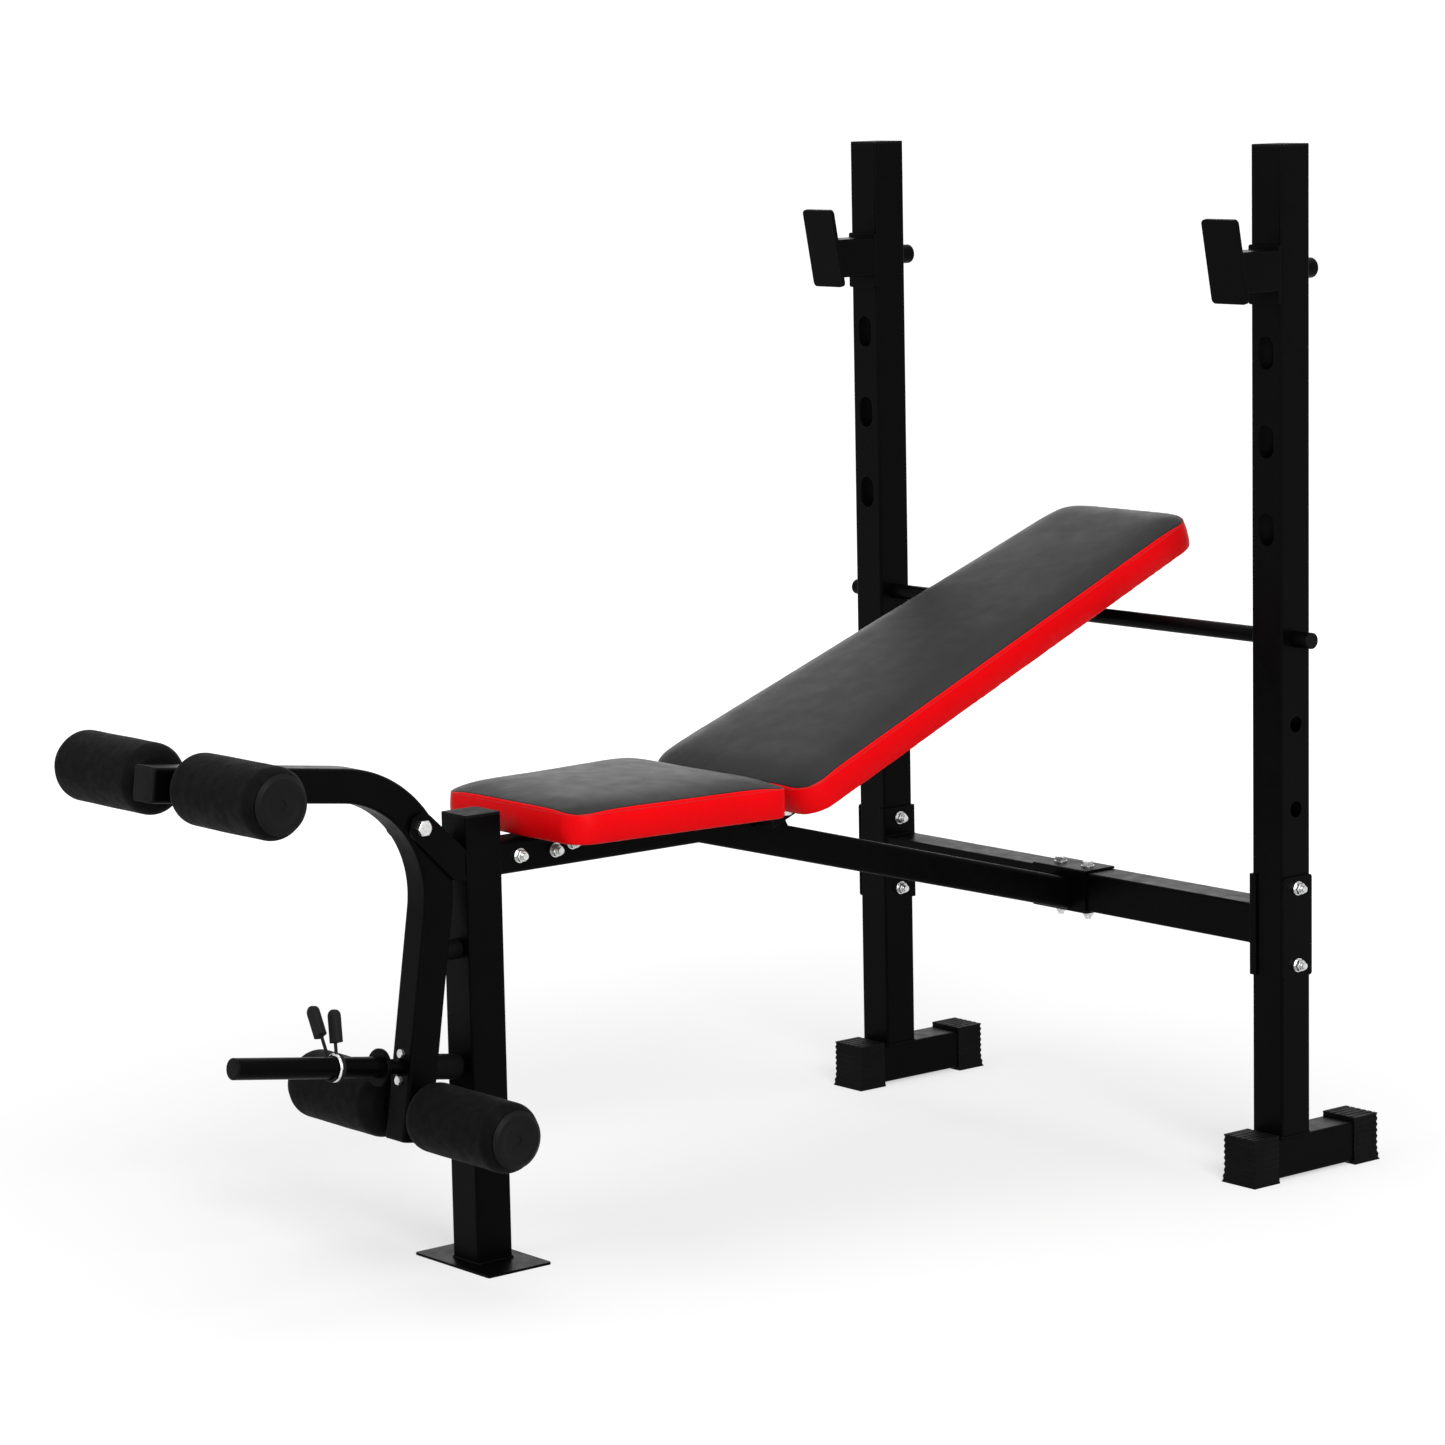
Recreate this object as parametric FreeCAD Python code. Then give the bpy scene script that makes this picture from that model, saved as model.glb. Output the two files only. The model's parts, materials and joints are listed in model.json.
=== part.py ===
import FreeCAD, Part
import math
import os
from FreeCAD import Vector

# Weight bench with rack uprights, a hinged backrest and a leg lever. Millimetres, +Z up.
# +X is the bench's left-to-right width, -Y points to the leg lever, +Y to the rack.
# Everything is laid out from the front face of the uprights (Y = 0) and the floor (Z = 0).
# At the end all pieces move along Y, so that the origin is under the middle of the bench.

# ---- Fits and gaps ----
RUN = 0.05            # radial clearance of a shaft that turns or slides in its hole
SOFT = 0.3            # gap between a soft piece or a moving face and its neighbour
PLUG = 0.2            # gap round a plastic plug inside its tube
HOLE = 0.3            # radial clearance of a bolt in its hole

# ---- Square tube sections ----
FRAME = 50.0
FRAME_WALL = 2.0
FRAME_CORNER = 3.0
BEAM = 40.0
BEAM_WALL = 2.0
BEAM_CORNER = 5.0
RAIL = 30.0           # backrest rails
RAIL_WALL = 1.5
RAIL_CORNER = 2.0
CAP_FLANGE = 3.0      # plastic end caps
CAP_DEPTH = 14.0

# ---- Rack ----
RACK_WIDTH = 784.0    # over the outer faces of the uprights
UPRIGHT_TOP = 1269.0
SLOT_LIFT = 15.0 - 2 * RUN     # how far a catch's pin can rise in its slot
SLOT_COUNT = 4
SLOT_PITCH = 107.0
SLOT_DROP = 140.5     # from the upright's top to the middle of the first slot
BAR_HOLE_COUNT = 3
BAR_HOLE_PITCH = 105.0
BAR_DIAMETER = 20.0
BAR_OVERHANG = 28.0
BAR_WALL = 1.5
BAR_CAP = 3.0

# ---- Feet ----
FOOT_BASE = 4.5       # rubber under the foot tube
FOOT_FRONT = -52.0
FOOT_LENGTH = 225.0
SHOE_WALL = 3.5
SHOE_LENGTH = 45.0
SHOE_TOP = 5.5        # rubber over the foot tube
SHOE_RIBS = 8
SHOE_RIB_DEPTH = 1.4
SHOE_FLARE = 2.6
SHOE_GROOVES = 5

# ---- Crossbeam and its brackets ----
CROSS_Z = 318.0
BRACKET_HEIGHT = 126.0
BRACKET_PLATE = 3.0
BRACKET_LIP = 8.6
BOLT_REACH = 48.0     # bolts above and below the crossbeam's middle

# ---- Fasteners ----
M8 = 8.0
M8_FLATS = 13.0
M8_HEAD = 5.3
M8_NUT = 8.0
M10 = 10.0
M10_FLATS = 17.0
M10_HEAD = 6.4
M10_NUT = 10.0
M6 = 6.0
M6_FLATS = 10.0
M6_HEAD = 4.0
WASHER = 1.5
THREAD_SHOW = 3.0

# ---- Main beam and front post ----
POST_REAR_Y = -911.0
POST_TOP = 530.0
PLATE_WIDTH = 146.0
PLATE_DEPTH = 91.0
PLATE_THICK = 3.0
BEAM_BOTTOM_Z = 456.5
BEAM_KINK_Y = -608.0
BEAM_SLOPE = 15.1
BEAM_END_GAP = 2.0
STUB_LENGTH = 112.0
STUB_BOLTS = (29.0, 81.0)      # from the post's rear face
SADDLE_WIDTH = 97.0
SADDLE_BOLT_X = 25.0

# ---- Seat ----
SEAT_FRONT_Y = -883.0
SEAT_LENGTH = 300.0
SEAT_FRONT_WIDTH = 262.0
SEAT_REAR_WIDTH = 310.0
SEAT_FRONT_CORNER = 30.0
SEAT_REAR_CORNER = 12.0
SEAT_ANGLE = 3.0      # thickness of the angle irons under the board
ANGLE_LEG = 26.0
ANGLE_FOOT = 30.0
ANGLE_LENGTH = 180.0
ANGLE_FRONT_Y = -821.0
ANGLE_BOLT_EDGE = 14.0

# ---- Cushions ----
BOARD = 12.0
BAND = 39.0           # side band, from the board's underside to the seam
CROWN = 10.0          # foam that rises over the seam
BOARD_INSET = 6.0

# ---- Backrest ----
HINGE_Y = -508.0
HINGE_Z = 491.0
INCLINE = 21.5
BACK_LENGTH = 734.0
BACK_START = -31.0    # lower end of the cushion, measured along the rails from the hinge
BACK_LOWER_WIDTH = 306.0
BACK_UPPER_WIDTH = 232.0
BACK_CORNER = 32.0
RAIL_LENGTH = 640.0
RAIL_START = -22.0
RAIL_TIE = 40.0
RAIL_TIES = (120.0, 500.0)
RAIL_SCREWS = (70.0, 300.0, 470.0)
EAR = 4.0             # hinge and pivot ear plates
THRUST = 1.0          # plastic washer between an ear and what turns in it
HINGE_EAR_R = 13.0
HINGE_EAR_LENGTH = 52.0
HINGE_EAR_WELD = 9.0  # how far the ear laps over the beam's side

# ---- Leg lever ----
PIVOT_REACH = 61.0    # from the post's front face
PIVOT_Z = 527.0
PIVOT_BEND_ANGLE = 35.0        # where the pivot sits on the bend
BEND_R = 140.0
LEG_LEAN = 8.5
ARM_RISE = 7.0
LEG_LENGTH = 265.0
ARM_LENGTH = 255.0
PIVOT_EAR_R = 17.0
EAR_FOOT = 18.0       # flat at the foot of a pivot ear
EAR_LOW = 69.0        # ear's lower and upper corners at the post, below the pivot
EAR_HIGH = 34.0
EAR_LAP = 12.0
BUSH_WALL = 3.0
UPPER_AXLE_AT = 214.0          # along the arm from the bend
LOWER_AXLE_AT = 233.0          # along the leg from the bend

# ---- Rollers ----
AXLE_DIAMETER = 25.0
AXLE_WALL = 1.5
AXLE_HALF = 203.0
FOAM_DIAMETER = 82.0
FOAM_START = 36.0
FOAM_ROUND = 17.0
ROLLER_CAP_R = 33.5
ROLLER_CAP = 3.5
ROLLER_PLUG = 26.0

# ---- Weight peg ----
PEG_AT = 183.0                 # along the leg from the bend
PEG_DIAMETER = 25.0
PEG_END = 249.0                # from the leg's centre line
PEG_SHANK = 19.0
FLANGE_FROM = 48.0
FLANGE_THICK = 5.0
FLANGE_DIAMETER = 43.5
PEG_BOLT_REACH = 15.5
BUMPER_DIAMETER = 30.0
BUMPER_ROUND = 6.0
STOP_Z = 375.0
STOP_DIAMETER = 24.0

# ---- Spring collar on the peg ----
COLLAR_AT = 113.0
COLLAR_WIRE = 4.0
GRIP_LENGTH = 38.0
GRIP_WIDTH = 16.0
GRIP_THICK = 11.0
GRIP_ROUND = 3.6
GRIP_WRAP = 190.0     # how far each grip's wire runs round the peg
GRIP_FRONT = (37.0, 41.0)      # lean towards -X in degrees, and distance from the peg's axis
GRIP_REAR = (17.0, 29.0)

# ---- Bar catches ----
CATCH_PIN = 25.0
CATCH_PIN_END = 80.0
CATCH_BACK_HEIGHT = 72.0
CATCH_BACK_DROP = 5.0
CATCH_PLATE = 4.0
LIP_WIDTH = 58.0
LIP_LENGTH = 103.0
LIP_THICK = 5.0
LIP_LEAN = 10.6
LIP_BOTTOM_Y = -62.5
LIP_DROP = 37.45      # from the catch pin down to the lip's lower edge
LIP_CORNER = 6.0

# ---- Derived places ----
UPRIGHT_X = (RACK_WIDTH - FRAME) / 2
UPRIGHT_Y = FRAME / 2
FOOT_TOP = FOOT_BASE + FRAME
INNER_FACE = RACK_WIDTH / 2 - FRAME
POST_FRONT_Y = POST_REAR_Y - FRAME
POST_Y = (POST_FRONT_Y + POST_REAR_Y) / 2
BEAM_TOP_Z = BEAM_BOTTOM_Z + BEAM
BEAM_MID_Z = BEAM_BOTTOM_Z + BEAM / 2
SEAT_BOTTOM = BEAM_TOP_Z + SEAT_ANGLE
SLOT_WIDTH = CATCH_PIN + 2 * RUN
SLOT_ARC = SLOT_LIFT / 2
SLOT_TOP_Z = UPRIGHT_TOP - SLOT_DROP
CATCH_Z = SLOT_TOP_Z - SLOT_ARC
SHOE_WIDTH = FRAME + 2 * SHOE_WALL
SHOE_HEIGHT = FOOT_TOP + SHOE_TOP
FOOT_REAR = FOOT_FRONT + FOOT_LENGTH
PIVOT_Y = POST_FRONT_Y - PIVOT_REACH
RAIL_GAP = BEAM + 2 * (EAR + THRUST)
# The support bar touches the underside of the inclined rails, a small gap apart.
BAR_OUT = -(RAIL / 2 + BAR_DIAMETER / 2 + SOFT)
BAR_ALONG = ((UPRIGHT_Y - HINGE_Y + BAR_OUT * math.sin(math.radians(INCLINE)))
             / math.cos(math.radians(INCLINE)))
BAR_Z = (HINGE_Z + BAR_ALONG * math.sin(math.radians(INCLINE))
         + BAR_OUT * math.cos(math.radians(INCLINE)))

X, Y, Z = Vector(1, 0, 0), Vector(0, 1, 0), Vector(0, 0, 1)


# ---- Shape helpers ----
def yz(y, z, x=0.0):
    return Vector(x, y, z)


def polar(angle_deg):
    """Unit vector in the YZ plane, measured from +Y towards +Z."""
    a = math.radians(angle_deg)
    return yz(math.cos(a), math.sin(a))


def box(x, y, z):
    """Block between the two values given for each axis."""
    corner = Vector(min(x), min(y), min(z))
    return Part.makeBox(abs(x[1] - x[0]), abs(y[1] - y[0]), abs(z[1] - z[0]), corner)


def rod(start, axis, radius, length):
    return Part.makeCylinder(radius, length, start, axis)


def pipe(start, axis, radius, wall, length):
    return rod(start, axis, radius, length).cut(rod(start, axis, radius - wall, length))


def round_wire(points, radii):
    """Closed wire through coplanar corner points, each corner rounded by its own radius."""
    starts, ends, mids = [], [], []
    count = len(points)
    for i, corner in enumerate(points):
        to_prev = (points[i - 1] - corner).normalize()
        to_next = (points[(i + 1) % count] - corner).normalize()
        half = to_prev.getAngle(to_next) / 2
        run = radii[i] / math.tan(half)
        bisector = (to_prev + to_next).normalize()
        centre = corner + bisector * (radii[i] / math.sin(half))
        starts.append(corner + to_prev * run)
        ends.append(corner + to_next * run)
        mids.append(centre - bisector * radii[i])
    edges = []
    for i in range(count):
        if radii[i] > 0:
            edges.append(Part.Arc(starts[i], mids[i], ends[i]).toShape())
        nxt = (i + 1) % count
        edges.append(Part.LineSegment(ends[i], starts[nxt]).toShape())
    return Part.Wire(edges)


def rect_wire(centre, u, v, size_u, size_v, radius):
    corners = [centre + u * (a * size_u / 2) + v * (b * size_v / 2)
               for a, b in ((-1, -1), (1, -1), (1, 1), (-1, 1))]
    return round_wire(corners, [radius] * 4)


def section(centre, u, v, size, wall, corner):
    """Face of a square tube section, with its hollow."""
    outer = rect_wire(centre, u, v, size, size, corner)
    inner_corner = max(corner - wall, 0.5)
    inner = rect_wire(centre, u, v, size - 2 * wall, size - 2 * wall, inner_corner)
    return Part.Face(outer).cut(Part.Face(inner)).Faces[0]


def square_tube(start, u, v, run, size, wall, corner):
    return section(start, u, v, size, wall, corner).extrude(run)


def plate(points, radii, thickness):
    """Flat plate with rounded corners; thickness is a vector."""
    return Part.Face(round_wire(points, radii)).extrude(thickness)


def hexagon(base, axis, flats, height):
    """Hexagonal prism standing on base."""
    side = Z if abs(axis.dot(Z)) < 0.9 else X
    across = axis.cross(side).normalize()
    other = axis.cross(across)
    r = flats / math.sqrt(3)
    points = [base + across * (r * math.cos(k * math.pi / 3)) + other * (r * math.sin(k * math.pi / 3))
              for k in range(6)]
    prism = Part.Face(Part.makePolygon(points + points[:1])).extrude(axis * height)
    # The corners are turned off at 30 degrees, as on a pressed head.
    low = flats / 2 * 0.94
    cone = Part.makeCone(low + height * 1.732, low, height, base, axis)
    return prism.common(cone)


def bolt(seat, axis, diameter, length, flats, head):
    """Hex bolt: the head's underside is on seat, and the shank runs along axis."""
    return hexagon(seat, axis * -1, flats, head).fuse(rod(seat, axis, diameter / 2, length)).removeSplitter()


def nut(seat, axis, diameter, flats, height):
    """Lock nut on seat, with its domed collar away from it."""
    body = hexagon(seat, axis, flats, height * 0.72)
    collar = rod(seat, axis, flats * 0.42, height)
    return body.fuse(collar).cut(rod(seat, axis, diameter / 2 + RUN, height)).removeSplitter()


def washer(seat, axis, diameter, thick, outer=None):
    outer = outer or diameter * 1.08
    return rod(seat, axis, outer, thick).cut(rod(seat, axis, diameter / 2 + RUN, thick))


def tube_cap(face, out, u, v, size, wall, corner):
    """Plastic cap: a flange over the tube's end and a plug inside it."""
    flange = Part.Face(rect_wire(face, u, v, size, size, corner)).extrude(out * CAP_FLANGE)
    flange = soften(flange, [e for e in flange.Edges if outer_edge(e, face + out * CAP_FLANGE, out)], 1.2)
    inner = size - 2 * (wall + PLUG)
    plug = Part.Face(rect_wire(face, u, v, inner, inner, max(corner - wall, 0.5))).extrude(out * -CAP_DEPTH)
    return flange.fuse(plug).removeSplitter()


def outer_edge(edge, face, out):
    """True for an edge that lies in the plane through face, square to out."""
    return all(abs((vertex.Point - face).dot(out)) < 1e-4 for vertex in edge.Vertexes)


def soften(shape, edges, radius):
    return shape.makeFillet(radius, edges) if edges else shape


def mirror(shape):
    return shape.mirror(Vector(0, 0, 0), X)


def tangent_point(centre, radius, point, side):
    """Where the line from point touches a circle in the YZ plane."""
    to = point - centre
    base = math.atan2(to.z, to.y)
    swing = math.acos(radius / to.Length)
    return centre + polar(math.degrees(base + side * swing)) * radius


def ear_plate(centre, radius, low, high, x, thick):
    """Plate that ends round about centre and runs to the corner points between low and high."""
    first = tangent_point(centre, radius, low[0], -1)
    last = tangent_point(centre, radius, high, 1)
    far = centre + (centre - (low[0] + high) * 0.5).normalize() * radius
    edges = [Part.Arc(last, far, first).toShape()]
    chain = [first] + list(low) + [high, last]
    edges += [Part.LineSegment(a, b).toShape() for a, b in zip(chain, chain[1:])]
    face = Part.Face(Part.Wire(edges))
    face.translate(X * x)
    return face.extrude(X * thick)


# ---- Rack ----
def slot_cutter(z):
    """Obround that runs from front to back through the right-hand upright."""
    low = rod(Vector(UPRIGHT_X, -1, z - SLOT_ARC), Y, SLOT_WIDTH / 2, FRAME + 2)
    high = rod(Vector(UPRIGHT_X, -1, z + SLOT_ARC), Y, SLOT_WIDTH / 2, FRAME + 2)
    half = SLOT_WIDTH / 2
    middle = box((UPRIGHT_X - half, UPRIGHT_X + half), (-1, FRAME + 1), (z - SLOT_ARC, z + SLOT_ARC))
    return low.fuse([high, middle])


def side_hole(y, z, radius):
    return rod(Vector(INNER_FACE - 10, y, z), X, radius, FRAME + 20)


def upright():
    start = Vector(UPRIGHT_X, UPRIGHT_Y, FOOT_TOP)
    tube = square_tube(start, X, Y, Z * (UPRIGHT_TOP - FOOT_TOP), FRAME, FRAME_WALL, FRAME_CORNER)
    cutters = [slot_cutter(SLOT_TOP_Z - k * SLOT_PITCH) for k in range(SLOT_COUNT)]
    cutters += [side_hole(UPRIGHT_Y, BAR_Z - k * BAR_HOLE_PITCH, BAR_DIAMETER / 2 + RUN)
                for k in range(BAR_HOLE_COUNT)]
    cutters += [side_hole(UPRIGHT_Y, z, M8 / 2 + HOLE) for z in bracket_bolt_heights()]
    return tube.cut(cutters)


def upright_cap():
    face = Vector(UPRIGHT_X, UPRIGHT_Y, UPRIGHT_TOP)
    return tube_cap(face, Z, X, Y, FRAME, FRAME_WALL, FRAME_CORNER)


def foot_tube():
    front, rear = FOOT_FRONT + SHOE_RIB_DEPTH + 3, FOOT_REAR - SHOE_RIB_DEPTH - 3
    start = Vector(UPRIGHT_X, front, FOOT_BASE + FRAME / 2)
    return square_tube(start, X, Z, Y * (rear - front), FRAME, FRAME_WALL, FRAME_CORNER)


def shoe(outer_y, inward):
    """Ribbed rubber foot over one end of the foot tube; inward is +1 or -1 along Y."""
    wires = []
    steps = 2 * SHOE_RIBS
    for k in range(steps + 1):
        z = SHOE_HEIGHT * k / steps
        inset = SHOE_RIB_DEPTH * (k % 2) + SHOE_FLARE * min(k / 4, 1)
        half = SHOE_WIDTH / 2 - inset * 0.6
        near, far = outer_y + inward * inset, outer_y + inward * SHOE_LENGTH
        points = [Vector(UPRIGHT_X - half, near, z), Vector(UPRIGHT_X + half, near, z),
                  Vector(UPRIGHT_X + half, far, z), Vector(UPRIGHT_X - half, far, z)]
        wires.append(Part.makePolygon(points + points[:1]))
    block = Part.makeLoft(wires, True, True)
    half = FRAME / 2 + PLUG / 2
    tube_end = outer_y + inward * (SHOE_RIB_DEPTH + 3)
    pocket = box((UPRIGHT_X - half, UPRIGHT_X + half), (tube_end, outer_y + inward * (SHOE_LENGTH + 1)),
                 (FOOT_BASE, FOOT_TOP + PLUG / 2))
    groove_pitch = SHOE_WIDTH / (SHOE_GROOVES + 1)
    grooves = [box((UPRIGHT_X - SHOE_WIDTH / 2 + groove_pitch * (k + 1) - 1.2,
                    UPRIGHT_X - SHOE_WIDTH / 2 + groove_pitch * (k + 1) + 1.2),
                   (outer_y - inward, outer_y + inward * (SHOE_LENGTH + 1)),
                   (SHOE_HEIGHT - 1.4, SHOE_HEIGHT + 1)) for k in range(SHOE_GROOVES)]
    return block.cut([pocket] + grooves)


def bracket_bolt_heights():
    return (CROSS_Z - BOLT_REACH, CROSS_Z + BOLT_REACH)


def crossbeam():
    reach = INNER_FACE - BRACKET_PLATE
    start = Vector(-reach, UPRIGHT_Y, CROSS_Z)
    tube = square_tube(start, Y, Z, X * (2 * reach), FRAME, FRAME_WALL, FRAME_CORNER)
    holes = [rod(Vector(x, UPRIGHT_Y, CROSS_Z - FRAME), Z, M8 / 2 + HOLE, 2 * FRAME)
             for x in (-SADDLE_BOLT_X, SADDLE_BOLT_X)]
    return tube.cut(holes)


def beam_bracket():
    """Channel on the inner face of the right-hand upright, with lips round its front and back."""
    low, high = CROSS_Z - BRACKET_HEIGHT / 2, CROSS_Z + BRACKET_HEIGHT / 2
    web = box((INNER_FACE - BRACKET_PLATE, INNER_FACE), (-BRACKET_PLATE, FRAME + BRACKET_PLATE), (low, high))
    lips = [box((INNER_FACE, INNER_FACE + BRACKET_LIP), y, (low, high))
            for y in ((-BRACKET_PLATE, 0), (FRAME, FRAME + BRACKET_PLATE))]
    channel = web.fuse(lips).removeSplitter()
    edges = [e for e in channel.Edges if abs(e.BoundBox.XMin - INNER_FACE + BRACKET_PLATE) < 1e-4
             and e.BoundBox.XLength < 1e-4 and e.BoundBox.ZLength > 1]
    channel = soften(channel, edges, BRACKET_PLATE - 0.5)
    holes = [rod(Vector(INNER_FACE - 10, UPRIGHT_Y, z), X, M8 / 2 + HOLE, 20) for z in bracket_bolt_heights()]
    return channel.cut(holes)


def outer_plate():
    face = RACK_WIDTH / 2
    low, high = CROSS_Z - BRACKET_HEIGHT / 2, CROSS_Z + BRACKET_HEIGHT / 2
    corners = [Vector(face, 0, low), Vector(face, FRAME, low), Vector(face, FRAME, high), Vector(face, 0, high)]
    body = plate(corners, [4.0] * 4, X * BRACKET_PLATE)
    return body.cut([rod(Vector(face - 5, UPRIGHT_Y, z), X, M8 / 2 + HOLE, 20) for z in bracket_bolt_heights()])


# ---- Main beam ----
def beam_path():
    """Kink and end of the beam's centre line; the end is on the saddle's front face."""
    kink = yz(BEAM_KINK_Y, BEAM_MID_Z)
    down = polar(-BEAM_SLOPE)
    run = (-BRACKET_PLATE - BEAM_KINK_Y) / down.y
    return kink, kink + down * run, down


def main_beam():
    kink, end, down = beam_path()
    front = yz(POST_REAR_Y + BEAM_END_GAP, BEAM_MID_Z)
    spare = BEAM
    level = square_tube(front, X, Z, Y * (kink.y - front.y + spare), BEAM, BEAM_WALL, BEAM_CORNER)
    normal = X.cross(down)
    sloped = square_tube(kink - down * spare, X, normal, down * ((end - kink).Length + 2 * spare),
                         BEAM, BEAM_WALL, BEAM_CORNER)
    # Both halves are mitred on the plane that halves the kink, and the end is cut upright.
    half = polar(-BEAM_SLOPE / 2)
    big = 3 * BEAM
    mitre = Part.Face(rect_wire(kink, X, X.cross(half), big, big, 1.0))
    level = level.cut(mitre.extrude(half * big * 2))
    sloped = sloped.cut(mitre.extrude(half * -big * 2))
    sloped = sloped.cut(box((-big, big), (end.y, end.y + big * 2), (end.z - big, end.z + big)))
    beam = level.fuse(sloped).removeSplitter()
    holes = [rod(Vector(-BEAM, POST_REAR_Y + at, BEAM_MID_Z), X, M8 / 2 + HOLE, 2 * BEAM) for at in STUB_BOLTS]
    holes += [rod(Vector(-BEAM, y, angle_bolt_z()), X, M8 / 2 + HOLE, 2 * BEAM) for y in angle_bolts()]
    return beam.cut(holes)


def beam_saddle():
    """Channel that grips the crossbeam from the front; the main beam is welded to it."""
    t = BRACKET_PLATE
    low, high = CROSS_Z - FRAME / 2, CROSS_Z + FRAME / 2
    half = SADDLE_WIDTH / 2
    web = box((-half, half), (-t, 0), (low - t, high + t))
    flanges = [box((-half, half), (0, FRAME), z) for z in ((low - t, low), (high, high + t))]
    saddle = web.fuse(flanges).removeSplitter()
    edges = [e for e in saddle.Edges if abs(e.BoundBox.YMin + t) < 1e-4 and e.BoundBox.YLength < 1e-4
             and e.BoundBox.XLength > 1]
    saddle = soften(saddle, edges, t - 0.5)
    holes = [rod(Vector(x, UPRIGHT_Y, low - 2 * t), Z, M8 / 2 + HOLE, FRAME + 4 * t)
             for x in (-SADDLE_BOLT_X, SADDLE_BOLT_X)]
    return saddle.cut(holes)


def beam_stub():
    """Inner tube on the post's rear face; the main beam slides over it."""
    size = BEAM - 2 * BEAM_WALL - 2 * PLUG
    start = yz(POST_REAR_Y, BEAM_MID_Z)
    tube = square_tube(start, X, Z, Y * STUB_LENGTH, size, BEAM_WALL, BEAM_CORNER - BEAM_WALL)
    holes = [rod(Vector(-BEAM, POST_REAR_Y + at, BEAM_MID_Z), X, M8 / 2 + HOLE, 2 * BEAM) for at in STUB_BOLTS]
    holes += [rod(Vector(-BEAM, y, angle_bolt_z()), X, M8 / 2 + HOLE, 2 * BEAM) for y in angle_bolts()]
    return tube.cut(holes)


# ---- Front post ----
def front_post():
    start = yz(POST_Y, PLATE_THICK)
    return square_tube(start, X, Y, Z * (POST_TOP - PLATE_THICK), FRAME, FRAME_WALL, FRAME_CORNER)


def post_cap():
    return tube_cap(yz(POST_Y, POST_TOP), Z, X, Y, FRAME, FRAME_WALL, FRAME_CORNER)


def base_plate():
    half_x, half_y = PLATE_WIDTH / 2, PLATE_DEPTH / 2
    corners = [Vector(a * half_x, POST_Y + b * half_y, 0) for a, b in ((-1, -1), (1, -1), (1, 1), (-1, 1))]
    return plate(corners, [3.0] * 4, Z * PLATE_THICK)


def pivot_ears():
    """Two plates on both sides of the lever, welded to the post's front face."""
    pivot = yz(PIVOT_Y, PIVOT_Z)
    inner = BEAM / 2 + THRUST
    # Ears that stand wider than the post lap over its sides instead of meeting its front face.
    weld_y = POST_FRONT_Y + (EAR_LAP if inner >= FRAME / 2 else 0)
    low = (yz(POST_FRONT_Y - EAR_FOOT, PIVOT_Z - EAR_LOW + 2), yz(weld_y, PIVOT_Z - EAR_LOW))
    ear = ear_plate(pivot, PIVOT_EAR_R, low, yz(weld_y, PIVOT_Z - EAR_HIGH), inner, EAR)
    ear = ear.cut(rod(yz(PIVOT_Y, PIVOT_Z), X, M10 / 2 + RUN, FRAME))
    return [ear, mirror(ear)]


# ---- Seat ----
def angle_bolts():
    return (ANGLE_FRONT_Y + ANGLE_BOLT_EDGE, ANGLE_FRONT_Y + ANGLE_LENGTH - ANGLE_BOLT_EDGE)


def angle_bolt_z():
    return BEAM_TOP_Z - ANGLE_LEG / 2


def seat_angles():
    """Two angle irons on the beam's sides that carry the seat board."""
    side = BEAM / 2
    run = (ANGLE_FRONT_Y, ANGLE_FRONT_Y + ANGLE_LENGTH)
    leg = box((side, side + SEAT_ANGLE), run, (BEAM_TOP_Z - ANGLE_LEG, SEAT_BOTTOM))
    foot = box((side, side + ANGLE_FOOT), run, (BEAM_TOP_Z, SEAT_BOTTOM))
    angle = leg.fuse(foot).removeSplitter()
    angle = angle.cut([rod(Vector(side - 5, y, angle_bolt_z()), X, M8 / 2 + HOLE, 20) for y in angle_bolts()])
    angle = angle.cut([rod(Vector(x, y, BEAM_TOP_Z - 1), Z, M6 / 2 + HOLE, 2 * SEAT_ANGLE)
                       for x, y in seat_screw_places() if x > 0])
    return [angle, mirror(angle)]


def seat_screw_places():
    x = BEAM / 2 + ANGLE_FOOT * 0.6
    ys = (ANGLE_FRONT_Y + 40, ANGLE_FRONT_Y + ANGLE_LENGTH - 40)
    return [(a * x, y) for a in (-1, 1) for y in ys]


def seat_outline(z, inset=0.0):
    """Seat plan: narrower at the lever, with all corners rounded."""
    rear_y = SEAT_FRONT_Y + SEAT_LENGTH
    front, rear = SEAT_FRONT_WIDTH / 2 - inset, SEAT_REAR_WIDTH / 2 - inset
    corners = [Vector(-front, SEAT_FRONT_Y + inset, z), Vector(front, SEAT_FRONT_Y + inset, z),
               Vector(rear, rear_y - inset, z), Vector(-rear, rear_y - inset, z)]
    radii = [SEAT_FRONT_CORNER - inset] * 2 + [SEAT_REAR_CORNER - inset] * 2
    return Part.Face(round_wire(corners, radii))


def cushion(outline, board, up):
    """Upholstery: a block with a rounded top edge and a pocket below for its board."""
    height = BAND + CROWN - SOFT
    block = outline.extrude(up * height)
    top = outline.CenterOfMass + up * height
    block = soften(block, [e for e in block.Edges if outer_edge(e, top, up)], CROWN)
    return block.cut(board.extrude(up * (BOARD + SOFT)))


def seat_board():
    return seat_outline(SEAT_BOTTOM, BOARD_INSET).extrude(Z * BOARD).cut(
        [rod(Vector(x, y, SEAT_BOTTOM), Z, M6 / 2 + RUN, BOARD - 2) for x, y in seat_screw_places()])


def seat_pad():
    base = SEAT_BOTTOM + SOFT
    return cushion(seat_outline(base), seat_outline(base - SOFT, BOARD_INSET - SOFT), Z)


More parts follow.
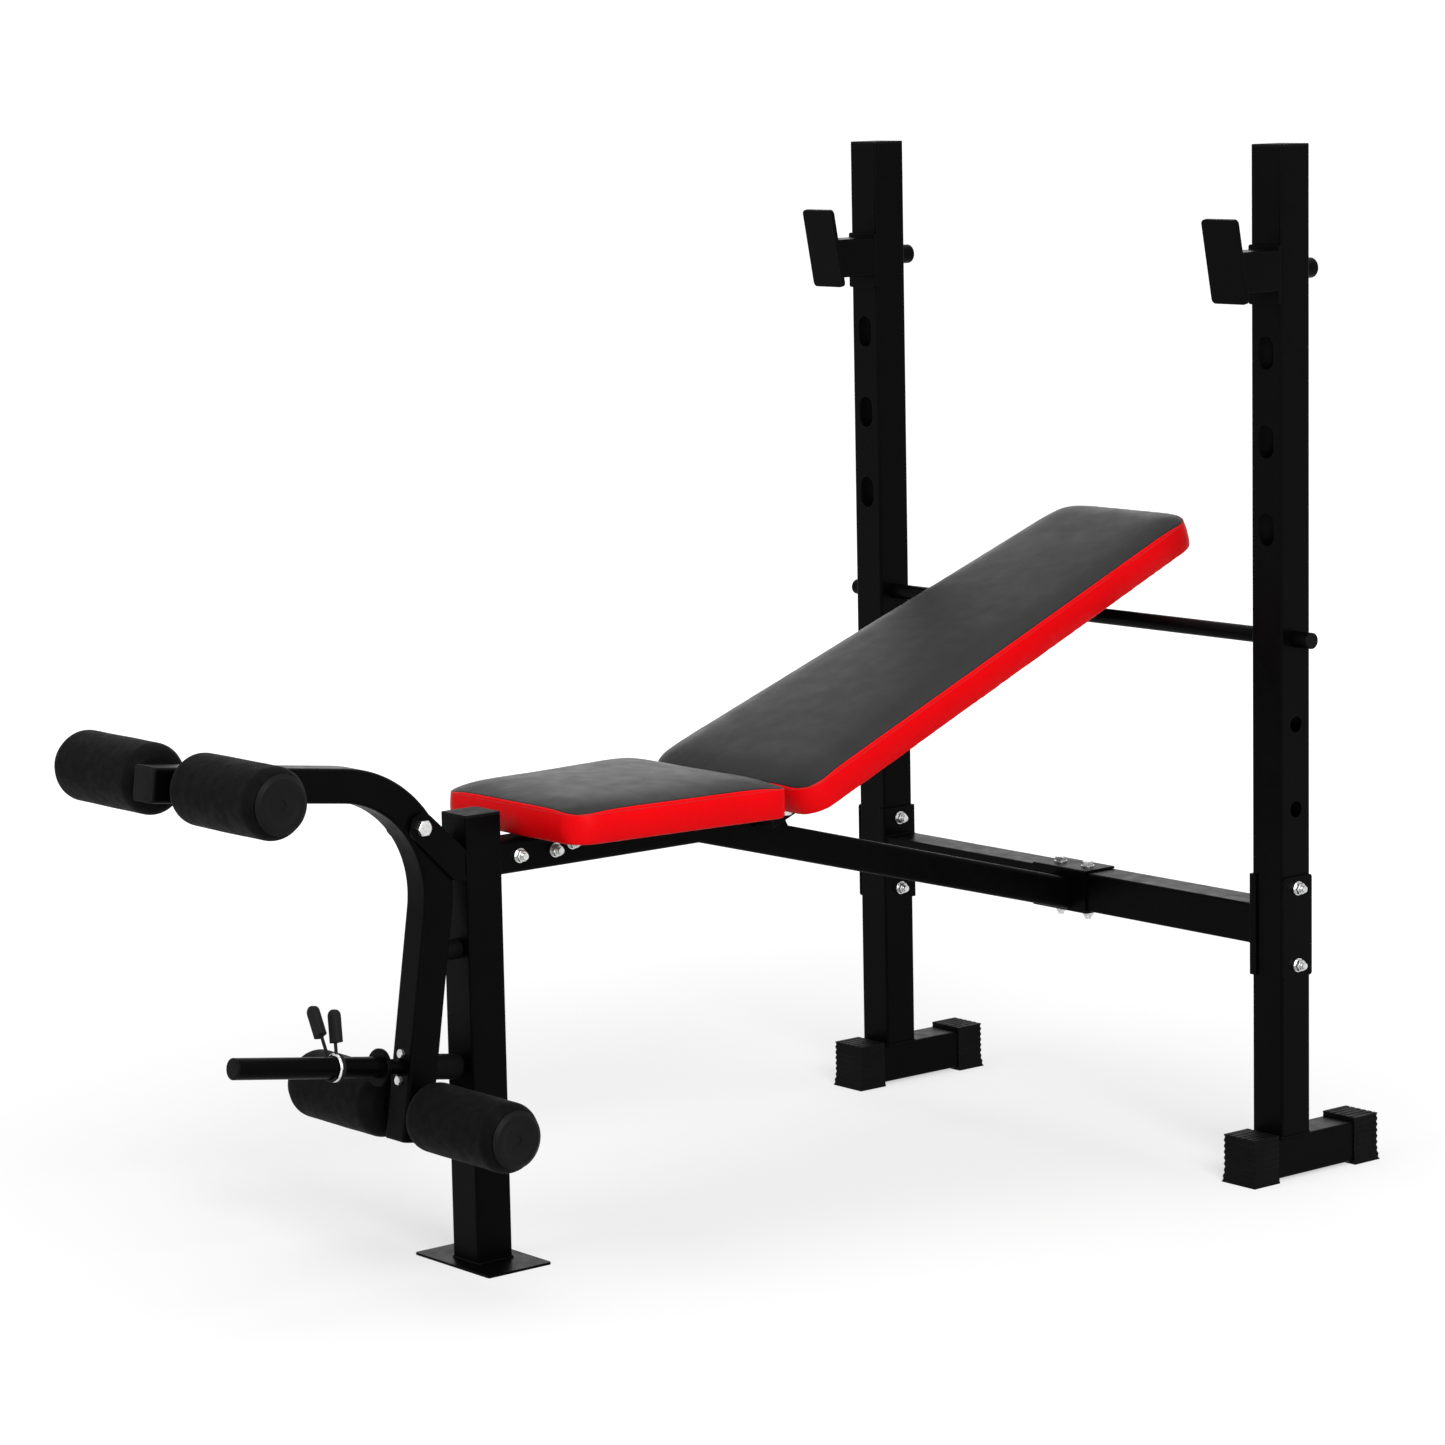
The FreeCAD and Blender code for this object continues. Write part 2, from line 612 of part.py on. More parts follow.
def seat_screws():
    return [bolt(Vector(x, y, BEAM_TOP_Z), Z, M6, SEAT_ANGLE + BOARD - 4, M6_FLATS, M6_HEAD)
            for x, y in seat_screw_places()]


# ---- Backrest, drawn along its own incline ----
def back_axes():
    """Hinge point, direction up the rails and direction out of the cushion."""
    return yz(HINGE_Y, HINGE_Z), polar(INCLINE), polar(INCLINE + 90)


def back_point(along, out, x=0.0):
    hinge, up, normal = back_axes()
    return hinge + up * along + normal * out + X * x


def back_outline(out, inset=0.0):
    start, end = BACK_START + inset, BACK_START + BACK_LENGTH - inset
    low, high = BACK_LOWER_WIDTH / 2 - inset, BACK_UPPER_WIDTH / 2 - inset
    corners = [back_point(start, out, -low), back_point(start, out, low),
               back_point(end, out, high), back_point(end, out, -high)]
    return Part.Face(round_wire(corners, [BACK_CORNER - inset] * 4))


def rail_x():
    return (RAIL_GAP + RAIL) / 2


def backrest_frame():
    hinge, up, normal = back_axes()
    rails = [square_tube(back_point(RAIL_START, 0, a * rail_x()), X, normal, up * RAIL_LENGTH,
                         RAIL, RAIL_WALL, RAIL_CORNER) for a in (-1, 1)]
    tie_half = RAIL_GAP / 2 + RAIL_WALL / 2
    top = RAIL / 2
    ties = [Part.Face(rect_wire(back_point(at, top - BRACKET_PLATE), X, up, 2 * tie_half, RAIL_TIE, 1.0)
                      ).extrude(normal * BRACKET_PLATE) for at in RAIL_TIES]
    frame = rails[0].fuse([rails[1]] + ties)
    span = RAIL_GAP + 4 * RAIL
    holes = [rod(Vector(-span / 2, HINGE_Y, HINGE_Z), X, M10 / 2 + RUN, span)]
    holes += [rod(back_point(at, -RAIL, x), normal, M6 / 2 + HOLE, 2 * RAIL) for at, x in back_screw_places()]
    return frame.cut(holes)


def backrest_frame_caps():
    hinge, up, normal = back_axes()
    ends = ((RAIL_START, -1), (RAIL_START + RAIL_LENGTH, 1))
    return [tube_cap(back_point(at, 0, a * rail_x()), up * way, X, normal, RAIL, RAIL_WALL, RAIL_CORNER)
            for a in (-1, 1) for at, way in ends]


def back_screw_places():
    return [(at, a * rail_x()) for at in RAIL_SCREWS for a in (-1, 1)]


def backrest_board():
    normal = back_axes()[2]
    board = back_outline(RAIL / 2, BOARD_INSET).extrude(normal * BOARD)
    return board.cut([rod(back_point(at, RAIL / 2, x), normal, M6 / 2 + RUN, BOARD - 2)
                      for at, x in back_screw_places()])


def backrest_pad():
    base = RAIL / 2 + SOFT
    return cushion(back_outline(base), back_outline(base - SOFT, BOARD_INSET - SOFT), back_axes()[2])


def backrest_screws():
    normal = back_axes()[2]
    return [bolt(back_point(at, -RAIL / 2, x), normal, M6, RAIL + BOARD - 4, M6_FLATS, M6_HEAD)
            for at, x in back_screw_places()]


def hinge_bracket():
    """Two ears welded to the beam's sides; the rails turn on a bolt through them."""
    kink, end, down = beam_path()
    centre = yz(HINGE_Y, HINGE_Z)
    foot = kink + down * ((HINGE_Y - kink.y) / down.y)
    top, weld = X.cross(down) * (BEAM / 2), X.cross(down) * (BEAM / 2 - HINGE_EAR_WELD)
    reach = down * (HINGE_EAR_LENGTH / 2)
    left, high = foot - reach + top, foot + reach + top
    corners = [foot - reach + weld, foot + reach + weld, high, left]
    face = Part.Face(round_wire(corners, [HINGE_EAR_WELD / 4] * 4))
    first = tangent_point(centre, HINGE_EAR_R, left, -1)
    last = tangent_point(centre, HINGE_EAR_R, high, 1)
    neck = [Part.Arc(last, centre + Z * HINGE_EAR_R, first).toShape(),
            Part.LineSegment(first, left).toShape(), Part.LineSegment(left, high).toShape(),
            Part.LineSegment(high, last).toShape()]
    flat = face.fuse(Part.Face(Part.Wire(neck))).removeSplitter()
    flat.translate(X * (BEAM / 2))
    ear = flat.Faces[0].extrude(X * EAR)
    ear = ear.cut(rod(centre, X, M10 / 2 + RUN, FRAME))
    return [ear, mirror(ear)]


def support_bar():
    reach = RACK_WIDTH / 2 + BAR_OVERHANG - BAR_CAP
    return pipe(Vector(-reach, UPRIGHT_Y, BAR_Z), X, BAR_DIAMETER / 2, BAR_WALL, 2 * reach)


def support_bar_caps():
    reach = RACK_WIDTH / 2 + BAR_OVERHANG - BAR_CAP
    centre = Vector(reach, UPRIGHT_Y, BAR_Z)
    head = rod(centre, X, BAR_DIAMETER / 2, BAR_CAP)
    head = soften(head, [e for e in head.Edges if outer_edge(e, centre + X * BAR_CAP, X)], 1.5)
    cap = head.fuse(rod(centre, X * -1, BAR_DIAMETER / 2 - BAR_WALL - PLUG / 2, CAP_DEPTH)).removeSplitter()
    return [cap, mirror(cap)]


# ---- Bar catches ----
def catch_hook():
    """Right-hand catch: back plate, square stub and leaning lip, welded together."""
    back_y = -SOFT / 2
    back_z = CATCH_Z - CATCH_BACK_DROP
    half_x, half_z = FRAME / 2, CATCH_BACK_HEIGHT / 2
    corners = [Vector(UPRIGHT_X + a * half_x, back_y, back_z + b * half_z)
               for a, b in ((-1, -1), (1, -1), (1, 1), (-1, 1))]
    back = plate(corners, [3.0] * 4, Y * -CATCH_PLATE)
    lean = polar(90 + LIP_LEAN)
    out = polar(180 + LIP_LEAN)
    bottom = yz(LIP_BOTTOM_Y, CATCH_Z - LIP_DROP, UPRIGHT_X)
    half = LIP_WIDTH / 2
    lip_corners = [bottom - X * half, bottom + X * half, bottom + X * half + lean * LIP_LENGTH,
                   bottom - X * half + lean * LIP_LENGTH]
    lip = plate(lip_corners, [LIP_CORNER] * 4, out * -LIP_THICK)
    start = Vector(UPRIGHT_X, back_y - CATCH_PLATE, CATCH_Z)
    stub = square_tube(start, X, Z, Y * -FRAME * 2, FRAME, FRAME_WALL, FRAME_CORNER)
    big = 4 * FRAME
    ahead = Part.Face(rect_wire(bottom - out * LIP_THICK, X, lean, big, big, 1.0)).extrude(out * big)
    hook = back.fuse([stub.cut(ahead), lip]).removeSplitter()
    return hook


def catch_pin():
    start = Vector(UPRIGHT_X, -SOFT / 2, CATCH_Z)
    length = CATCH_PIN_END + SOFT / 2
    pin = rod(start, Y, CATCH_PIN / 2, length)
    return soften(pin, [e for e in pin.Edges if outer_edge(e, start + Y * length, Y)], 3.0)


# ---- Leg lever ----
def lever_axes():
    """Bend centre, both tangent points, and the directions down the leg and out along the arm."""
    pivot = yz(PIVOT_Y, PIVOT_Z)
    centre = pivot - polar(PIVOT_BEND_ANGLE) * BEND_R
    leg_top = centre + polar(-LEG_LEAN) * BEND_R
    arm_root = centre + polar(90 - ARM_RISE) * BEND_R
    return centre, leg_top, arm_root, polar(-90 - LEG_LEAN), polar(180 - ARM_RISE)


def lever_tube():
    centre, leg_top, arm_root, down, ahead = lever_axes()
    leg_side, arm_side = polar(-LEG_LEAN), polar(90 - ARM_RISE)
    leg = square_tube(leg_top, X, leg_side, down * LEG_LENGTH, BEAM, BEAM_WALL, BEAM_CORNER)
    arm = square_tube(arm_root, X, arm_side, ahead * ARM_LENGTH, BEAM, BEAM_WALL, BEAM_CORNER)
    turn = 90 - ARM_RISE + LEG_LEAN
    bend = section(leg_top, X, leg_side, BEAM, BEAM_WALL, BEAM_CORNER).revolve(centre, X, turn)
    tube = leg.fuse([bend, arm]).removeSplitter()
    axles = [rod(p - X * BEAM, X, AXLE_DIAMETER / 2 + RUN, 2 * BEAM) for p in axle_places()]
    pivot = yz(PIVOT_Y, PIVOT_Z)
    bush_r = M10 / 2 + RUN + BUSH_WALL
    tube = tube.cut(axles + [rod(pivot - X * BEAM, X, bush_r, 2 * BEAM)])
    bush = rod(pivot - X * (BEAM / 2), X, bush_r, BEAM).cut(rod(pivot - X * BEAM, X, M10 / 2 + RUN, 2 * BEAM))
    tube = tube.fuse(bush).removeSplitter()
    at, out = peg_axes()
    holes = [rod(at - out * BEAM, out, PEG_SHANK / 2 + RUN, 2 * BEAM)]
    holes += [rod(p - out * BEAM, out, M6 / 2 + HOLE, 2 * BEAM) for p in peg_bolt_places()]
    return tube.cut(holes)


def axle_places():
    centre, leg_top, arm_root, down, ahead = lever_axes()
    return arm_root + ahead * UPPER_AXLE_AT, leg_top + down * LOWER_AXLE_AT


def lever_caps():
    centre, leg_top, arm_root, down, ahead = lever_axes()
    ends = ((leg_top + down * LEG_LENGTH, down, polar(-LEG_LEAN)),
            (arm_root + ahead * ARM_LENGTH, ahead, polar(90 - ARM_RISE)))
    return [tube_cap(face, out, X, side, BEAM, BEAM_WALL, BEAM_CORNER) for face, out, side in ends]


def peg_axes():
    """Where the peg crosses the leg's centre line, and its direction ahead."""
    centre, leg_top, arm_root, down, ahead = lever_axes()
    return leg_top + down * PEG_AT, polar(180 - LEG_LEAN)


def bumper_end():
    """Distance behind the leg's centre line at which the bumper almost meets the post."""
    at, out = peg_axes()
    inner = BUMPER_DIAMETER / 2 - BUMPER_ROUND
    lean = math.radians(LEG_LEAN)
    reach = (POST_FRONT_Y - SOFT) - at.y - inner * math.sin(lean) - BUMPER_ROUND
    return reach / math.cos(lean) + BUMPER_ROUND


def weight_peg():
    """Tube for the plates with a stop flange, on a thinner shank through the leg."""
    at, out = peg_axes()
    rear = -bumper_end() + 12
    shank = rod(at + out * rear, out, PEG_SHANK / 2, FLANGE_FROM - rear)
    flange = rod(at + out * FLANGE_FROM, out, FLANGE_DIAMETER / 2, FLANGE_THICK)
    flange = soften(flange, flange.Edges[:1] + [e for e in flange.Edges[1:] if len(e.Vertexes) == 1], 1.2)
    start = FLANGE_FROM + FLANGE_THICK
    sleeve = pipe(at + out * start, out, PEG_DIAMETER / 2, AXLE_WALL, PEG_END - start)
    return shank.fuse([flange, sleeve]).removeSplitter()


def peg_cap():
    at, out = peg_axes()
    face = at + out * PEG_END
    head = rod(face, out, PEG_DIAMETER / 2, CAP_FLANGE)
    head = soften(head, [e for e in head.Edges if outer_edge(e, face + out * CAP_FLANGE, out)], 1.5)
    plug = rod(face, out * -1, PEG_DIAMETER / 2 - AXLE_WALL - PLUG / 2, CAP_DEPTH)
    return head.fuse(plug).removeSplitter()


def peg_bolt_places():
    at, out = peg_axes()
    side = lever_axes()[3]
    return [at + side * (a * PEG_BOLT_REACH) for a in (-1, 1)]


def peg_bolts():
    out = peg_axes()[1]
    return [bolt(p + out * (BEAM / 2), out * -1, M6, BEAM - 6, M6_FLATS, M6_HEAD) for p in peg_bolt_places()]


def bumper():
    """Rubber end on the peg's shank, which stops the lever against the post."""
    at, out = peg_axes()
    back = out * -1
    start, end = BEAM / 2, bumper_end()
    body = rod(at + back * start, back, BUMPER_DIAMETER / 2, end - start)
    body = soften(body, [e for e in body.Edges if outer_edge(e, at + back * end, out)], BUMPER_ROUND)
    return body.cut(rod(at, back, PEG_SHANK / 2 + RUN, end - 12 + RUN))


def rest_stop():
    """Rubber buffer on the post's front face, behind the leg."""
    centre, leg_top, arm_root, down, ahead = lever_axes()
    rear = leg_top + down * ((leg_top.z - STOP_Z) / -down.z) + polar(-LEG_LEAN) * (BEAM / 2)
    lean = STOP_DIAMETER / 2 * math.tan(math.radians(LEG_LEAN))
    length = POST_FRONT_Y - rear.y - lean - SOFT
    start = yz(POST_FRONT_Y, STOP_Z)
    body = rod(start, Y * -1, STOP_DIAMETER / 2, length)
    return soften(body, [e for e in body.Edges if outer_edge(e, start - Y * length, Y)], 2.0)


# ---- Rollers ----
def roller_axle(place):
    return pipe(place - X * AXLE_HALF, X, AXLE_DIAMETER / 2, AXLE_WALL, 2 * AXLE_HALF)


def foam(place):
    """Right-hand foam roller on its axle."""
    start = place + X * FOAM_START
    body = rod(start, X, FOAM_DIAMETER / 2, AXLE_HALF - FOAM_START)
    body = soften(body, [e for e in body.Edges if len(e.Vertexes) == 1], FOAM_ROUND)
    return body.cut(rod(place, X, AXLE_DIAMETER / 2 + 2 * RUN, AXLE_HALF * 2))


def roller_caps():
    caps = []
    for place in axle_places():
        face = place + X * (AXLE_HALF + SOFT)
        rim = Part.makeCone(ROLLER_CAP_R, ROLLER_CAP_R - 5, ROLLER_CAP, face, X)
        dish = Part.makeCone(ROLLER_CAP_R * 0.5, ROLLER_CAP_R - 9, 2.0, face + X * (ROLLER_CAP - 1.6), X)
        dimple = rod(face + X * (ROLLER_CAP - 2.6), X, 5.5, 4)
        plug = rod(face, X * -1, AXLE_DIAMETER / 2 - AXLE_WALL - PLUG / 2, ROLLER_PLUG)
        cap = rim.cut([dish, dimple]).fuse(plug).removeSplitter()
        caps += [cap, mirror(cap)]
    return caps


# ---- Spring collar ----
def collar_radius():
    return PEG_DIAMETER / 2 + 2 * RUN + COLLAR_WIRE / 2


def wire_section(centre, normal):
    return Part.Face(Part.Wire(Part.Circle(centre, normal, COLLAR_WIRE / 2).toShape()))


def collar_coil():
    """Middle turn of the spring, round the peg."""
    at, out = peg_axes()
    side = lever_axes()[3]
    start = at + out * COLLAR_AT + side * collar_radius()
    return wire_section(start, out.cross(side)).revolve(at, out, 360)


def collar_grip(way, lean, reach):
    """One end of the spring: part of a turn, then a wire straight out into its rubber grip.

    way is 1 for the end ahead of the coil and -1 for the one behind it.
    """
    at, out = peg_axes()
    ray = FreeCAD.Rotation(out, lean).multVec(lever_axes()[3] * -1)
    across = out.cross(ray)
    centre = at + out * (COLLAR_AT + way * (COLLAR_WIRE + SOFT))
    bend = centre + ray * collar_radius()
    turn = wire_section(bend, across).revolve(centre, out * way, GRIP_WRAP)
    elbow = Part.makeSphere(COLLAR_WIRE / 2, bend)
    wire = rod(bend, ray, COLLAR_WIRE / 2, reach + COLLAR_WIRE - collar_radius())
    # The grip's inner face stands just off the middle of the coil, so that the two grips pass each other.
    foot = bend + ray * (reach - collar_radius()) - out * (way * (COLLAR_WIRE + SOFT / 2))
    half = across * (GRIP_WIDTH / 2)
    top = foot + ray * (GRIP_LENGTH - GRIP_WIDTH / 2)
    outline = Part.Wire([Part.makeLine(foot - half, foot + half), Part.makeLine(foot + half, top + half),
                         Part.Arc(top + half, top + ray * (GRIP_WIDTH / 2), top - half).toShape(),
                         Part.makeLine(top - half, foot - half)])
    body = Part.Face(outline).extrude(out * (way * GRIP_THICK))
    middle = foot + out * (way * GRIP_THICK / 2)
    rim = [e for e in body.Edges if (e.CenterOfMass - middle).dot(ray) > 1
           and abs((e.CenterOfMass - middle).dot(out)) > GRIP_THICK / 2 - 0.1]
    return turn.fuse([elbow, wire, soften(body, rim, GRIP_ROUND)]).removeSplitter()


# ---- Bolts, nuts and washers of the fixed frame ----
def frame_fasteners():
    bolts, nuts, washers = [], [], []

    def through(start, axis, grip, diameter, flats, head, nut_height):
        """Bolt, its two washers and its nut, clamping grip millimetres from start along axis."""
        washers.append(washer(start, axis * -1, diameter, WASHER))
        washers.append(washer(start + axis * grip, axis, diameter, WASHER))
        nuts.append(nut(start + axis * (grip + WASHER), axis, diameter, flats, nut_height))
        bolts.append(bolt(start - axis * WASHER, axis, diameter,
                          grip + 2 * WASHER + nut_height + THREAD_SHOW, flats, head))

    clamp = FRAME + 2 * BRACKET_PLATE
    for z in bracket_bolt_heights():
        for start in (INNER_FACE - BRACKET_PLATE, -RACK_WIDTH / 2 - BRACKET_PLATE):
            through(Vector(start, UPRIGHT_Y, z), X, clamp, M8, M8_FLATS, M8_HEAD, M8_NUT)
    for x in (-SADDLE_BOLT_X, SADDLE_BOLT_X):
        top = Vector(x, UPRIGHT_Y, CROSS_Z + FRAME / 2 + BRACKET_PLATE)
        through(top, Z * -1, clamp, M8, M8_FLATS, M8_HEAD, M8_NUT)
    for at in STUB_BOLTS:
        through(Vector(-BEAM / 2, POST_REAR_Y + at, BEAM_MID_Z), X, BEAM, M8, M8_FLATS, M8_HEAD, M8_NUT)
    for y in angle_bolts():
        side = BEAM / 2 + SEAT_ANGLE
        through(Vector(-side, y, angle_bolt_z()), X, 2 * side, M8, M8_FLATS, M8_HEAD, M8_NUT)
    return bolts, nuts, washers


def pivot_bolt():
    side = BEAM / 2 + THRUST + EAR
    return bolt(Vector(side, PIVOT_Y, PIVOT_Z), X * -1, M10, 2 * side + M10_NUT + THREAD_SHOW,
                M10_FLATS, M10_HEAD)


def hinge_bolt():
    side = RAIL_GAP / 2 + RAIL + SOFT
    return bolt(Vector(side, HINGE_Y, HINGE_Z), X * -1, M10, 2 * side + M10_NUT + THREAD_SHOW,
                M10_FLATS, M10_HEAD)


def pivot_nuts():
    pivot_side = BEAM / 2 + THRUST + EAR
    hinge_side = RAIL_GAP / 2 + RAIL + SOFT
    return [nut(Vector(-pivot_side, PIVOT_Y, PIVOT_Z), X * -1, M10, M10_FLATS, M10_NUT),
            nut(Vector(-hinge_side, HINGE_Y, HINGE_Z), X * -1, M10, M10_FLATS, M10_NUT)]


def pivot_spacers():
    """Plastic washers between the ears and what turns in them."""
    places = ((BEAM / 2, PIVOT_Y, PIVOT_Z), (BEAM / 2 + EAR, HINGE_Y, HINGE_Z))
    spacers = []
    for x, y, z in places:
        one = washer(Vector(x, y, z), X, M10, THRUST)
        spacers += [one, mirror(one)]
    return spacers


# ---- Assembly ----
def build():
    bolts, nuts, washers = frame_fasteners()
    upper, lower = axle_places()
    right = {
        "upright": upright(), "upright_cap": upright_cap(), "foot_tube": foot_tube(),
        "foot_cap_front": shoe(FOOT_FRONT, 1), "foot_cap_rear": shoe(FOOT_REAR, -1),
        "beam_bracket": beam_bracket(), "outer_plate": outer_plate(),
        "catch_hook": catch_hook(), "catch_pin": catch_pin(),
        "foam_roller_upper": foam(upper), "foam_roller_lower": foam(lower),
    }
    parts = {}
    for name, shape in right.items():
        parts[name + "_right"] = shape
        parts[name + "_left"] = mirror(shape)
    parts.update({
        "crossbeam": crossbeam(), "main_beam": main_beam(), "beam_saddle": beam_saddle(),
        "beam_stub": beam_stub(), "front_post": front_post(), "post_cap": post_cap(),
        "base_plate": base_plate(), "pivot_ears": pivot_ears(), "pivot_bolt": pivot_bolt(),
        "frame_bolts": bolts, "lock_nuts": nuts + pivot_nuts(), "washers": washers + pivot_spacers(),
        "seat_angles": seat_angles(), "seat_board": seat_board(), "seat_pad": seat_pad(),
        "seat_screws": seat_screws(), "hinge_bracket": hinge_bracket(), "hinge_bolt": hinge_bolt(),
        "backrest_frame": backrest_frame(), "backrest_frame_caps": backrest_frame_caps(),
        "backrest_board": backrest_board(), "backrest_pad": backrest_pad(),
        "backrest_screws": backrest_screws(), "support_bar": support_bar(),
        "support_bar_caps": support_bar_caps(), "lever_tube": lever_tube(), "lever_caps": lever_caps(),
        "weight_peg": weight_peg(), "peg_cap": peg_cap(), "peg_bolts": peg_bolts(), "bumper": bumper(),
        "rest_stop": rest_stop(), "roller_axle_upper": roller_axle(upper),
        "roller_axle_lower": roller_axle(lower), "roller_caps": roller_caps(),
        "collar_coil": collar_coil(),
        "collar_grip_front": collar_grip(1, *GRIP_FRONT),
        "collar_grip_rear": collar_grip(-1, *GRIP_REAR),
    })
    return {name: Part.Compound(s) if isinstance(s, list) else s for name, s in parts.items()}


def centre_shift(parts):
    """Distance along Y that puts the origin under the middle of the bench."""
    low = min(s.BoundBox.YMin for s in parts.values())
    high = max(s.BoundBox.YMax for s in parts.values())
    return -(low + high) / 2


PARTS = build()
SHIFT_Y = centre_shift(PARTS)
os.makedirs("parts", exist_ok=True)
for node, shape in PARTS.items():
    shape.translate(Y * SHIFT_Y)
    if not shape.isValid():
        print("not valid:", node)
    shape.exportStep("parts/" + node + ".step")
print(len(PARTS), "nodes, shift", round(SHIFT_Y, 3))
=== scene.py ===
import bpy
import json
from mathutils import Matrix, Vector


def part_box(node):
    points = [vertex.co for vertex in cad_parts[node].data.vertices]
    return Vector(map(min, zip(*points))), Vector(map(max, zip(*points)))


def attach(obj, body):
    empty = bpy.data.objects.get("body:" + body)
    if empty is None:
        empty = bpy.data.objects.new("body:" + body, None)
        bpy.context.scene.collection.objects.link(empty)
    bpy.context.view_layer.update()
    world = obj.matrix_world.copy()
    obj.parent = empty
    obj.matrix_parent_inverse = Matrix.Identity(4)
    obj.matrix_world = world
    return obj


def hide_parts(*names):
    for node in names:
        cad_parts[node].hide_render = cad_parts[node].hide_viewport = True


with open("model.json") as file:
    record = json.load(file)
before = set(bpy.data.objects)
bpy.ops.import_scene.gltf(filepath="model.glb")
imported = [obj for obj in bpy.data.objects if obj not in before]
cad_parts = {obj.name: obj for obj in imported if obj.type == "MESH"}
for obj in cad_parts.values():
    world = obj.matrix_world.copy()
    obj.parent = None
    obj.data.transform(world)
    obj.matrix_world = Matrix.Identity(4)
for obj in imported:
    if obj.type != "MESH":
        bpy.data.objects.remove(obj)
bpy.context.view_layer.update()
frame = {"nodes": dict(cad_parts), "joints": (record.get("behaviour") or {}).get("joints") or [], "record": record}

"""Looks of a weight bench over its CAD frame.

Finishes for every CAD node, sewn cushions, foam rollers, weld beads, a studio and the camera.
"""

import json
import logging
import math
from dataclasses import dataclass
from enum import Enum
from typing import Iterable, Sequence

import bmesh
import bpy
from mathutils import Matrix, Vector, noise
from mathutils.bvhtree import BVHTree

LOG = logging.getLogger("bench")
Colour = tuple[float, float, float]
Socket = bpy.types.NodeSocket
Feed = Socket | Colour | float
MM = 0.001
SHARP_ANGLE = math.radians(32)  # CAD edges steeper than this stay sharp
UNEVEN = (0.3, 0.7)  # the part of a noise texture's range that its values fill
SIDES = {"left": -1, "right": 1}


class Slot(Enum):
    """Material slots of the record."""

    POWDER = "powder_coat"
    ZINC = "zinc"
    PLUG = "end_plug"
    DISC = "roller_disc"
    RUBBER = "foot_rubber"
    FOAM = "foam"
    BOARD = "board"
    LEATHER = "upholstery"
    BAND = "upholstery_band"
    CHROME = "chrome_wire"
    GRIP = "grip_rubber"


class Cell(Enum):
    """What a cell texture measures the distance to."""

    NEAREST = "F1"
    EDGE = "DISTANCE_TO_EDGE"


